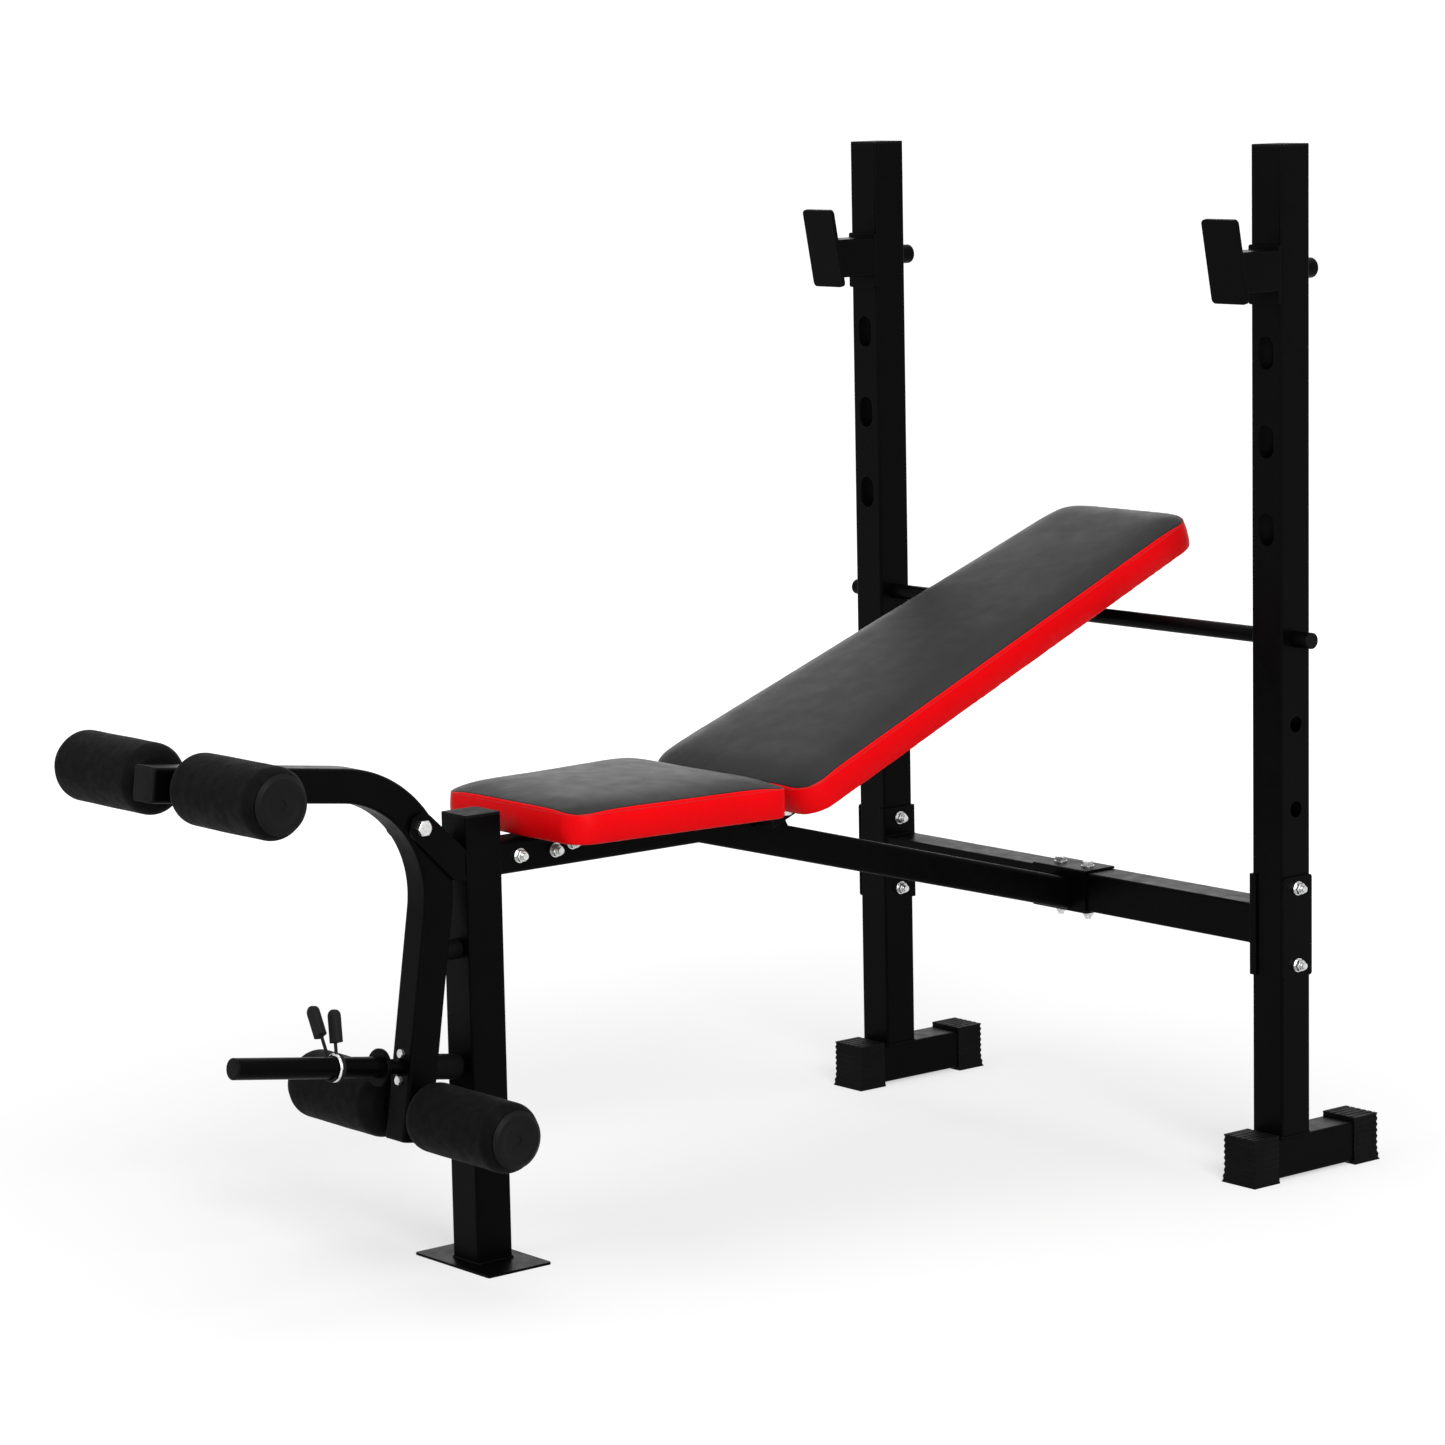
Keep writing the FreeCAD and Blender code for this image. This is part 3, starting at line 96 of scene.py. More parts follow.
class Graph:
    """A node material with a Principled shader, built by short calls."""

    def __init__(self, name: str) -> None:
        """Start the material.

        Args:
            name: Name of the material.
        """
        self.material = bpy.data.materials.new(name)
        self.material.use_nodes = True
        self.tree = self.material.node_tree
        self.tree.nodes.clear()
        self.shader = self.node("BsdfPrincipled")
        self.node("OutputMaterial", Surface=self.shader.outputs[0])
        self.place = self.node("TexCoord").outputs["Object"]

    def node(self, kind: str, settings: dict | None = None, **inputs: Feed) -> bpy.types.Node:
        """Add one node.

        Args:
            kind: Node type without its "ShaderNode" start.
            settings: Properties of the node.
            **inputs: Inputs by name, with "_" for a space; a socket is linked, anything else set.

        Returns:
            The new node.
        """
        made = self.tree.nodes.new("ShaderNode" + kind)
        for key, value in (settings or {}).items():
            setattr(made, key, value)
        for key, value in inputs.items():
            self.feed(made.inputs[key.replace("_", " ")], value)
        return made

    def feed(self, socket: Socket, value: Feed) -> None:
        """Link or set one input socket.

        Args:
            socket: The input.
            value: An output socket, a number or a colour.
        """
        if isinstance(value, Socket):
            self.tree.links.new(value, socket)
        elif isinstance(value, tuple) and len(value) == 3 and socket.type == "RGBA":
            socket.default_value = (*value, 1.0)
        else:
            socket.default_value = value

    def noise(self, scale: float, detail: float = 2.0, place: Socket | None = None) -> Socket:
        """Return the value of a noise texture.

        Args:
            scale: Cells per metre.
            detail: Octaves.
            place: Coordinates, the object's own by default.

        Returns:
            The value socket.
        """
        made = self.node("TexNoise", Vector=place or self.place, Scale=scale, Detail=detail)
        return made.outputs["Fac"]

    def cells(self, scale: float, feature: Cell = Cell.NEAREST, place: Socket | None = None) -> Socket:
        """Return the distance of a cell texture.

        Args:
            scale: Cells per metre.
            feature: What is measured.
            place: Coordinates, the object's own by default.

        Returns:
            The distance socket.
        """
        made = self.node("TexVoronoi", {"feature": feature.value}, Vector=place or self.place, Scale=scale)
        return made.outputs["Distance"]

    def warp(self, scale: float, amount: float) -> Socket:
        """Return the object's coordinates shaken by noise.

        Args:
            scale: Cells of the noise per metre.
            amount: Size of the shake in metres.

        Returns:
            The vector socket.
        """
        shake = self.node("TexNoise", Vector=self.place, Scale=scale, Detail=2.0).outputs["Color"]
        scaled = self.node("VectorMath", {"operation": "SCALE"}, Vector=shake, Scale=amount)
        made = self.node("VectorMath", {"operation": "ADD"})
        self.feed(made.inputs[0], self.place)
        self.feed(made.inputs[1], scaled.outputs[0])
        return made.outputs[0]

    def span(self, value: Socket, source: tuple[float, float], target: tuple[float, float]) -> Socket:
        """Map a value from one range to another, clamped.

        Args:
            value: The value.
            source: Its range.
            target: The new range.

        Returns:
            The mapped value.
        """
        return self.node("MapRange", Value=value, From_Min=source[0], From_Max=source[1],
                         To_Min=target[0], To_Max=target[1]).outputs[0]

    def blend(self, factor: Feed, first: Feed, second: Feed) -> Socket:
        """Blend two colours.

        Args:
            factor: 0 for the first, 1 for the second.
            first: First colour.
            second: Second colour.

        Returns:
            The colour socket.
        """
        made = self.node("Mix", {"data_type": "RGBA"})
        for index, value in ((0, factor), (6, first), (7, second)):
            self.feed(made.inputs[index], value)
        return made.outputs[2]

    def bump(self, height: Socket, depth: float, normal: Socket | None = None) -> Socket:
        """Return a normal bent by a height.

        Args:
            height: Height from 0 to 1.
            depth: Metres that the height stands for.
            normal: Normal to start from.

        Returns:
            The normal socket.
        """
        made = self.node("Bump", Height=height, Distance=depth, Strength=1.0)
        if normal is not None:
            self.feed(made.inputs["Normal"], normal)
        return made.outputs[0]

    def soft_edges(self, radius: float) -> Socket:
        """Return a normal that rounds the edges.

        Args:
            radius: Edge radius in metres.

        Returns:
            The normal socket.
        """
        return self.node("Bevel", {"samples": 4}, Radius=radius).outputs[0]

    def finish(self, **inputs: Feed) -> bpy.types.Material:
        """Set the shader's inputs and return the material.

        Args:
            **inputs: Inputs of the Principled shader, with "_" for a space.

        Returns:
            The finished material.
        """
        for key, value in inputs.items():
            self.feed(self.shader.inputs[key.replace("_", " ")], value)
        return self.material


@dataclass(frozen=True)
class Coat:
    """A hard, opaque surface with fine texture: powder coat, moulded plastic or rubber."""

    name: str
    colour: Colour
    roughness: tuple[float, float]
    grain: float
    depth: float
    edge: float = 0.6 * MM
    specular: float = 0.05

    def material(self) -> bpy.types.Material:
        """Return the node material."""
        g = Graph(self.name)
        patches = g.noise(22.0, 3.0)
        light = tuple(min(1.0, c * 1.5 + 0.0004) for c in self.colour)
        tone = g.blend(g.span(patches, (0.35, 0.7), (0.0, 0.6)), self.colour, light)
        rough = g.span(g.noise(60.0, 4.0), UNEVEN, self.roughness)
        normal = g.bump(g.noise(self.grain, 3.0), self.depth, g.soft_edges(self.edge))
        return g.finish(Base_Color=tone, Roughness=rough, Normal=normal,
                        Specular_IOR_Level=self.specular)


@dataclass(frozen=True)
class Metal:
    """Bare or plated metal with drawn streaks."""

    name: str
    colour: Colour
    roughness: tuple[float, float]
    streak: float = 500.0

    def material(self) -> bpy.types.Material:
        """Return the node material."""
        g = Graph(self.name)
        cloud = g.noise(160.0, 4.0)
        dull = tuple(c * 0.72 for c in self.colour)
        tone = g.blend(g.span(cloud, (0.35, 0.65), (0.0, 1.0)), self.colour, dull)
        rough = g.span(g.noise(self.streak, 3.0), UNEVEN, self.roughness)
        normal = g.bump(g.noise(self.streak * 2, 2.0), 0.02 * MM, g.soft_edges(0.3 * MM))
        return g.finish(Base_Color=tone, Roughness=rough, Normal=normal, Metallic=1.0)


@dataclass(frozen=True)
class Leather:
    """Embossed leatherette with soft creases and painted shade in its grain's grooves."""

    name: str
    colour: Colour
    roughness: tuple[float, float]
    grain: float = 620.0
    depth: float = 0.07 * MM
    specular: float = 0.13

    def material(self) -> bpy.types.Material:
        """Return the node material."""
        g = Graph(self.name)
        place = g.warp(260.0, 1.6 * MM)
        edge = g.cells(self.grain, Cell.EDGE, place)
        pebble = g.span(edge, (0.0, 0.28), (0.0, 1.0))
        fine = g.noise(2400.0, 2.0)
        crease = g.span(g.noise(34.0, 5.0), UNEVEN, (0.0, 1.0))
        # painted shade: the colour is darkened in the grain's grooves, at the cell edges
        groove_shade = tuple(c * 0.62 for c in self.colour)
        tone = g.blend(g.span(edge, (0.0, 0.12), (0.55, 0.0)), self.colour, groove_shade)
        worn = tuple(min(1.0, c * 1.1) for c in self.colour)
        tone = g.blend(g.span(g.noise(9.0, 3.0), (0.4, 0.7), (0.0, 0.35)), tone, worn)
        rough = g.span(g.noise(40.0, 4.0), UNEVEN, self.roughness)
        normal = g.bump(crease, 0.12 * MM)
        normal = g.bump(pebble, self.depth, normal)
        normal = g.bump(fine, 0.015 * MM, normal)
        return g.finish(Base_Color=tone, Roughness=rough, Normal=normal,
                        Specular_IOR_Level=self.specular)


@dataclass(frozen=True)
class Foam:
    """Closed-cell foam with open pores at its skin, the insides of the pores darkened as painted shade."""

    name: str
    colour: Colour
    pore: float = 850.0

    def material(self) -> bpy.types.Material:
        """Return the node material."""
        g = Graph(self.name)
        place = g.warp(500.0, 0.8 * MM)
        pores = g.span(g.cells(self.pore, place=place), (0.12, 0.42), (0.0, 1.0))
        large = g.span(g.cells(self.pore * 0.36, place=place), (0.06, 0.2), (0.0, 1.0))
        # painted shade: the insides of the small and large pores are darkened
        dark = tuple(c * 0.45 for c in self.colour)
        tone = g.blend(pores, dark, self.colour)
        tone = g.blend(g.span(large, (0.0, 1.0), (0.5, 0.0)), tone, dark)
        rough = g.span(g.noise(90.0, 4.0), UNEVEN, (0.62, 0.8))
        normal = g.bump(g.noise(120.0, 4.0), 0.25 * MM)
        normal = g.bump(pores, 0.12 * MM, normal)
        normal = g.bump(large, 0.2 * MM, normal)
        return g.finish(Base_Color=tone, Roughness=rough, Normal=normal, Specular_IOR_Level=0.06,
                        Sheen_Weight=0.006, Sheen_Roughness=0.4)


@dataclass(frozen=True)
class Plywood:
    """Raw plywood with long grain."""

    name: str
    colour: Colour
    dark: Colour

    def material(self) -> bpy.types.Material:
        """Return the node material."""
        g = Graph(self.name)
        long = g.node("Mapping", Vector=g.place, Scale=(9.0, 0.7, 9.0)).outputs[0]
        grain = g.noise(28.0, 6.0, long)
        fibre = g.noise(260.0, 4.0, long)
        tone = g.blend(g.span(grain, (0.35, 0.65), (0.0, 1.0)), self.colour, self.dark)
        tone = g.blend(g.span(fibre, (0.55, 0.7), (0.0, 0.5)), tone, self.dark)
        rough = g.span(fibre, UNEVEN, (0.65, 0.85))
        return g.finish(Base_Color=tone, Roughness=rough, Normal=g.bump(fibre, 0.08 * MM))


@dataclass(frozen=True)
class Thread:
    """Twisted sewing thread."""

    name: str
    colour: Colour

    def material(self) -> bpy.types.Material:
        """Return the node material."""
        g = Graph(self.name)
        twist = g.noise(3800.0, 1.0)
        shaded = tuple(c * 0.5 for c in self.colour)
        tone = g.blend(g.span(twist, (0.35, 0.65), (0.0, 0.7)), self.colour, shaded)
        rough = g.span(twist, UNEVEN, (0.55, 0.75))
        return g.finish(Base_Color=tone, Roughness=rough, Normal=g.bump(twist, 0.08 * MM),
                        Sheen_Weight=0.15)


@dataclass(frozen=True)
class Finishes:
    """Every finish of the bench, by slot."""

    table: dict[Slot, bpy.types.Material]
    thread: bpy.types.Material

    @classmethod
    def make(cls) -> "Finishes":
        """Build all materials.

        Returns:
            The finishes.
        """
        black = (0.0008, 0.0008, 0.0009)
        recipes = {
            Slot.POWDER: Coat("powder_coat", black, (0.3, 0.42), 900.0, 0.05 * MM, 0.9 * MM, 0.03),
            Slot.ZINC: Metal("zinc", (0.66, 0.67, 0.66), (0.22, 0.42)),
            Slot.PLUG: Coat("end_plug", (0.0025, 0.0025, 0.0027), (0.45, 0.6), 1500.0, 0.06 * MM),
            Slot.DISC: Coat("roller_disc", (0.006, 0.006, 0.0064), (0.4, 0.55), 1300.0, 0.05 * MM),
            Slot.RUBBER: Coat("foot_rubber", (0.002, 0.002, 0.0021), (0.5, 0.66), 1100.0, 0.08 * MM),
            Slot.FOAM: Foam("foam", (0.001, 0.001, 0.001)),
            Slot.BOARD: Plywood("board", (0.42, 0.27, 0.15), (0.24, 0.14, 0.07)),
            Slot.LEATHER: Leather("upholstery", (0.0085, 0.0083, 0.0082), (0.38, 0.46)),
            Slot.BAND: Leather("upholstery_band", (0.78, 0.0006, 0.003), (0.42, 0.52), 760.0,
                               0.035 * MM, 0.08),
            Slot.CHROME: Metal("chrome_wire", (0.82, 0.82, 0.83), (0.06, 0.16), 900.0),
            Slot.GRIP: Coat("grip_rubber", (0.01, 0.01, 0.01), (0.5, 0.65), 1400.0, 0.07 * MM),
        }
        return cls({key: recipe.material() for key, recipe in recipes.items()},
                   Thread("thread", (0.3, 0.0015, 0.003)).material())

    def dress_frame(self) -> None:
        """Give each CAD node its finish and smooth shading."""
        slots = {part["node"]: part["material_slot"] for part in frame["record"]["subparts"]}
        for name, obj in frame["nodes"].items():
            mesh = obj.data
            mesh.materials.clear()
            mesh.materials.append(self.table[Slot(slots[name])])
            if not mesh.has_custom_normals:
                mesh.polygons.foreach_set("use_smooth", [True] * len(mesh.polygons))
                mesh.set_sharp_from_angle(angle=SHARP_ANGLE)


def to_object(name: str, bm: bmesh.types.BMesh,
              materials: Sequence[bpy.types.Material]) -> bpy.types.Object:
    """Turn a bmesh into a linked, smooth-shaded object.

    Args:
        name: Name of the piece.
        bm: The mesh, freed here.
        materials: Its materials, in slot order.

    Returns:
        The object.
    """
    bmesh.ops.recalc_face_normals(bm, faces=bm.faces)
    mesh = bpy.data.meshes.new(name)
    bm.to_mesh(mesh)
    bm.free()
    mesh.polygons.foreach_set("use_smooth", [True] * len(mesh.polygons))
    for material in materials:
        mesh.materials.append(material)
    obj = bpy.data.objects.new(name, mesh)
    bpy.context.scene.collection.objects.link(obj)
    return obj


def baked(obj: bpy.types.Object) -> bpy.types.Object:
    """Apply an object's modifiers.

    Args:
        obj: The object.

    Returns:
        The same object, with its evaluated mesh.
    """
    graph = bpy.context.evaluated_depsgraph_get()
    mesh = bpy.data.meshes.new_from_object(obj.evaluated_get(graph), depsgraph=graph)
    obj.modifiers.clear()
    obj.data = mesh
    return obj


def sweep(bm: bmesh.types.BMesh, points: Sequence[Vector], radii: Sequence[float], up: Vector,
          sides: int = 6, closed: bool = False) -> None:
    """Add a tube along a line.

    Args:
        bm: The mesh to add to.
        points: Centres of the cross-sections.
        radii: Their radii.
        up: A direction that is never along the line.
        sides: Corners of a cross-section.
        closed: Whether the line closes on itself.
    """
    count = len(points)
    rings = []
    for i, (point, radius) in enumerate(zip(points, radii)):
        after = points[(i + 1) % count] if closed or i + 1 < count else point
        before = points[i - 1] if closed or i else point
        along = (after - before).normalized()
        side = along.cross(up).normalized()
        top = side.cross(along)
        rings.append([bm.verts.new(point + radius * (side * math.cos(a) + top * math.sin(a)))
                      for a in (math.tau * k / sides for k in range(sides))])
    for i in range(count if closed else count - 1):
        first, second = rings[i], rings[(i + 1) % count]
        for k in range(sides):
            bm.faces.new((first[k], first[(k + 1) % sides], second[(k + 1) % sides], second[k]))
    if not closed:
        bm.faces.new(rings[0])
        bm.faces.new(reversed(rings[-1]))


def girth(line: Sequence[Vector]) -> float:
    """Return the length of a line.

    Args:
        line: Its points.

    Returns:
        The length.
    """
    return sum((b - a).length for a, b in zip(line, line[1:]))


def resample(points: Sequence[Vector], count: int) -> list[Vector]:
    """Space points evenly along an open line.

    Args:
        points: The line.
        count: Steps; the last point is left out.

    Returns:
        The first `count` points.
    """
    spans = [(b - a).length for a, b in zip(points, points[1:])]
    step, result, index, passed = sum(spans) / count, [], 0, 0.0
    for k in range(count):
        while index < len(spans) - 1 and passed + spans[index] < k * step:
            passed += spans[index]
            index += 1
        share = (k * step - passed) / max(spans[index], 1e-9)
        result.append(points[index].lerp(points[index + 1], min(1.0, share)))
    return result


@dataclass
class Cushion:
    """A board-backed pad: a domed top sewn to a side band that wraps under the board."""

    name: str
    body: str
    node: str
    plane: Matrix
    start: float
    end: float
    start_half: float
    end_half: float
    start_corner: float
    end_corner: float
    bottom: float
    seam: float
    crown: float
    cell: float = 6 * MM
    wrap: float = 28 * MM
    arc: int = 16  # steps of each rounded corner, an even number
    puff: float = 1.1 * MM  # how far the band stands out at half height, all round
    belly: float = 2.2 * MM  # and how much further between the corners
    inner_gap: float = 1.4 * MM  # how far the pad's own side stays under the band
    band_thickness: float = 1.0 * MM
    side_limit: float = 1.2 * MM  # most that the filling moves a point sideways
    shoulder: float = 38 * MM
    dip: float = 3.2 * MM
    pressure: float = 4.0
    frames: int = 20

    def outline(self, inset: float) -> list[Vector]:
        """Return the rounded outline, moved inwards.

        Args:
            inset: How far inwards.

        Returns:
            Points counterclockwise, starting at the middle of the first corner.
        """
        corners = [(-self.start_half + inset, self.start + inset, self.start_corner),
                   (self.start_half - inset, self.start + inset, self.start_corner),
                   (self.end_half - inset, self.end - inset, self.end_corner),
                   (-self.end_half + inset, self.end - inset, self.end_corner)]
        dense: list[Vector] = []
        middles = []
        for i, (x, y, radius) in enumerate(corners):
            here = Vector((x, y))
            before = (Vector(corners[i - 1][:2]) - here).normalized()
            after = (Vector(corners[(i + 1) % 4][:2]) - here).normalized()
            half = before.angle(after) / 2
            radius = max(radius - inset, 3 * MM)
            centre = here + (before + after).normalized() * radius / math.sin(half)
            arm = here + before * radius / math.tan(half) - centre
            turn = (math.pi - 2 * half) / self.arc
            middles.append(len(dense) + self.arc // 2)
            dense += [centre + Matrix.Rotation(turn * k, 2) @ arm for k in range(self.arc + 1)]
        nx, ny = self.counts()
        result: list[Vector] = []
        for i, count in enumerate((nx, ny, nx, ny)):
            first, last = middles[i], middles[(i + 1) % 4]
            line = dense[first:last + 1] if last > first else dense[first:] + dense[:last + 1]
            result += resample(line, count)
        return result

    def counts(self) -> tuple[int, int]:
        """Return the numbers of cells across and along."""
        return round(2 * self.start_half / self.cell), round((self.end - self.start) / self.cell)

    def levels(self) -> list[tuple[float, float]]:
        """Return (inset, height) of each ring from the seam to the edge of the wrap."""
        tall = self.seam - self.bottom
        rings = [(0.9 * MM - self.puff * math.sin(math.pi * min(1.0, t * 1.15)) ** 0.6,
                  self.seam - t * tall)
                 for t in (0.0, 0.05, 0.12, 0.22, 0.36, 0.5, 0.64, 0.78, 0.88)]
        rings += [(1.2 * MM, self.bottom + 1.4 * MM), (3.2 * MM, self.bottom - 0.2 * MM)]
        rings += [(self.wrap * t, self.bottom - 0.7 * MM) for t in (0.3, 0.5, 0.75, 1.0)]
        return rings

    def patch(self, bm: bmesh.types.BMesh, ring: Sequence[bmesh.types.BMVert], material: int,
              rise: float) -> list[bmesh.types.BMVert]:
        """Fill a ring with a grid of quads.

        Args:
            bm: The mesh to add to.
            ring: Its corners, counterclockwise from the first corner.
            material: Index of the material.
            rise: Height of the dome in the middle.

        Returns:
            The new inner vertices.
        """
        nx, ny = self.counts()
        spots = [v.co.copy() for v in ring]
        total = len(ring)
        inner, grid = [], {}
        for i in range(nx + 1):
            for j in range(ny + 1):
                south, north = i, (2 * nx + ny - i) % total
                east, west = nx + j, (total - j) % total
                if j == 0 or j == ny or i == 0 or i == nx:
                    index = south if j == 0 else north if j == ny else west if i == 0 else east
                    grid[i, j] = ring[index]
                    continue
                u, v = i / nx, j / ny
                place = (spots[south] * (1 - v) + spots[north] * v
                         + spots[west] * (1 - u) + spots[east] * u
                         - spots[0] * (1 - u) * (1 - v) - spots[nx] * u * (1 - v)
                         - spots[nx + ny] * u * v - spots[2 * nx + ny] * (1 - u) * v)
                place.z += rise * self.fall(min(i, nx - i)) * self.fall(min(j, ny - j))
                grid[i, j] = bm.verts.new(place)
                inner.append(grid[i, j])
        for i in range(nx):
            for j in range(ny):
                face = bm.faces.new((grid[i, j], grid[i + 1, j], grid[i + 1, j + 1], grid[i, j + 1]))
                face.material_index = material
        return inner

    def fall(self, cells: int) -> float:
        """Return the share of the dome's height a number of cells in from an edge.

        Args:
            cells: The number of cells.

        Returns:
            0 at the edge to 1 past the shoulder.
        """
        return 1 - (1 - min(1.0, cells * self.cell / self.shoulder)) ** 2

    def sag(self, index: int) -> float:
        """Return how far the seam is pulled down, most at the corners.

        Args:
            index: Place in the ring.

        Returns:
            The distance.
        """
        nx, ny = self.counts()
        starts = (0, nx, nx + ny, 2 * nx + ny, 2 * (nx + ny))
        away = min(abs(index - start) for start in starts) * self.cell
        return self.dip * math.exp(-((away / (34 * MM)) ** 2))

    def swell(self, index: int, height: float) -> Vector:
        """Return how far the band stands out between its corners.

        Args:
            index: Place in the ring.
            height: Height in the pad's own frame.

        Returns:
            The shift.
        """
        nx, ny = self.counts()
        share = max(0.0, math.sin(math.pi * (height - self.bottom) / (self.seam - self.bottom)))
        sides = ((0, nx, (0, -1)), (nx, ny, (1, 0)),
                 (nx + ny, nx, (0, 1)), (2 * nx + ny, ny, (-1, 0)))
        for start, count, way in sides:
            if start <= index < start + count:
                edge = min(1.0, 3.2 * math.sin(math.pi * (index - start) / count))
                return Vector((*way, 0)) * self.belly * share * edge
        return Vector()

    def cage(self) -> tuple[bmesh.types.BMesh, list[int]]:
        """Build the closed pad before it is filled.

        Returns:
            The mesh and the indices of the vertices that are held.
        """
        bm = bmesh.new()
        rings = []
        for inset, height in self.levels():
            share = max(0.0, (height - self.bottom) / (self.seam - self.bottom))
            rings.append([bm.verts.new(Vector((p.x, p.y, height - self.sag(k) * share))
                                       + self.swell(k, height))
                          for k, p in enumerate(self.outline(inset))])
        total = len(rings[0])
        for first, second in zip(rings, rings[1:]):
            for k in range(total):
                n = (k + 1) % total
                face = bm.faces.new((first[k], second[k], second[n], first[n]))
                face.material_index = 1
        self.patch(bm, rings[0], 0, 0.72 * (self.crown - self.seam))
        self.patch(bm, rings[-1], 2, 0.0)
        bm.verts.index_update()
        nx, ny = self.counts()
        inner = (nx - 1) * (ny - 1)
        held = [v.index for v in rings[0]] + [v.index for ring in rings[8:] for v in ring]
        held += list(range(len(bm.verts) - inner, len(bm.verts)))
        return bm, held

    def fill(self, obj: bpy.types.Object, held: Sequence[int]) -> None:
        """Fill the pad by cloth simulation, then limit how far it swells.

        Args:
            obj: The pad.
            held: Vertices that don't move.
        """
        obj.vertex_groups.new(name="held").add(list(held), 1.0, "REPLACE")
        modifier = obj.modifiers.new("fill", "CLOTH")
        settings = modifier.settings
        settings.quality = 5
        settings.use_pressure = True
        settings.uniform_pressure_force = self.pressure
        settings.vertex_group_mass = "held"
        settings.effector_weights.gravity = 0.0
        settings.tension_stiffness = settings.compression_stiffness = 30.0
        modifier.point_cache.frame_start, modifier.point_cache.frame_end = 1, self.frames
        scene = bpy.context.scene
        for number in range(1, self.frames + 1):
            scene.frame_set(number)
        graph = bpy.context.evaluated_depsgraph_get()
        filled = [v.co.copy() for v in obj.evaluated_get(graph).data.vertices]
        obj.modifiers.remove(modifier)
        scene.frame_set(1)
        moves = [b - v.co for b, v in zip(filled, obj.data.vertices)]
        peak = max(move.z for move in moves)
        limit = 0.28 * (self.crown - self.seam)
        share = min(1.0, limit / max(peak, 1e-6))
        LOG.info("%s swelled %.1f mm, kept %.2f of it", self.name, peak / MM, share)
        for move, vertex in zip(moves, obj.data.vertices):
            move *= share
            side = Vector((move.x, move.y))
            if side.length > self.side_limit:
                move.xy = side * (self.side_limit / side.length)
            vertex.co += move

    def relief(self, obj: bpy.types.Object) -> None:
        """Add puckers at the seam, streaks and sags down the side band and a slightly uneven top.

        Args:
            obj: The pad, subdivided.
        """
        tall = self.seam - self.bottom
        upper = {i for f in obj.data.polygons if f.material_index == 0 for i in f.vertices}
        normals = [vertex.normal.copy() for vertex in obj.data.vertices]
        for vertex, normal in zip(obj.data.vertices, normals):
            spot = vertex.co
            if vertex.index in upper:
                near = math.exp(-max(0.0, spot.z - self.seam) / (3 * MM))
                lump = noise.noise(spot * 9) * 0.7 + noise.noise(spot * 24) * 0.22
                pucker = noise.noise(spot * 85) * 0.28 * near
                vertex.co = spot + normal * (lump * (1 - near) + pucker) * MM
            elif spot.z > self.bottom + 0.5 * MM:
                share = (self.seam - spot.z) / tall
                streak = noise.noise(Vector((spot.x * 110, spot.y * 110, spot.z * 22)))
                sag = noise.noise(spot * 20)
                vertex.co = spot + normal * (streak * (0.1 + 0.3 * share) + sag * 0.3) * MM

    def band(self, obj: bpy.types.Object,
             materials: Sequence[bpy.types.Material]) -> bpy.types.Object:
        """Take the side band off the pad as a piece of its own.

        Args:
            obj: The pad; its own side moves in under the band.
            materials: Finish of the band.

        Returns:
            The band.
        """
        bm = bmesh.new()
        bm.from_mesh(obj.data)
        bmesh.ops.delete(bm, geom=[f for f in bm.faces if f.material_index != 1], context="FACES")
        for face in bm.faces:
            face.material_index = 0
        made = to_object(self.name + "_band", bm, materials)
        made.matrix_world = obj.matrix_world
        thick = made.modifiers.new("thickness", "SOLIDIFY")
        thick.thickness, thick.offset = self.band_thickness, -1.0
        baked(made)
        only = {i for f in obj.data.polygons if f.material_index == 1 for i in f.vertices}
        rest = {i for f in obj.data.polygons if f.material_index != 1 for i in f.vertices}
        normals = [vertex.normal.copy() for vertex in obj.data.vertices]
        for i in only - rest:
            obj.data.vertices[i].co -= normals[i] * self.inner_gap
        for face in obj.data.polygons:
            if face.material_index == 1:
                face.material_index = 0
        return made

    def stitches(self, tree: BVHTree, name: str, inset: float, height: float, pitch: float,
                 length: float, radius: float, material: bpy.types.Material) -> bpy.types.Object:
        """Lay a row of stitches or staples on a surface.

        Args:
            tree: The surface, in the pad's own frame.
            name: Name of the piece.
            inset: Distance in from the outline.
            height: Height in the pad's own frame.
            pitch: Step from one to the next.
            length: Length of one.
            radius: Its radius.
            material: Its finish.

        Returns:
            The row as one piece.
        """
        ring = [Vector((p.x, p.y, height)) for p in self.outline(inset)]
        ring.append(ring[0])
        count = round(girth(ring) / pitch)
        fine = resample(ring, count * 4)
        arch = ((-0.5, -0.9), (-0.36, 0.25), (0.0, 0.5), (0.36, 0.25), (0.5, -0.9))
        bm = bmesh.new()
        for k in range(count):
            first, last = fine[4 * k], fine[(4 * k + 4) % len(fine)]
            middle = (first + last) / 2
            spot, normal, _, _ = tree.find_nearest(middle)
            along = (last - first).normalized()
            points = [spot + along * length * t + normal * radius * lift for t, lift in arch]
            sweep(bm, points, [radius * r for r in (0.6, 0.95, 1.0, 0.95, 0.6)], normal, 5)
        made = to_object(name, bm, [material])
        made.matrix_world = self.plane
        return made

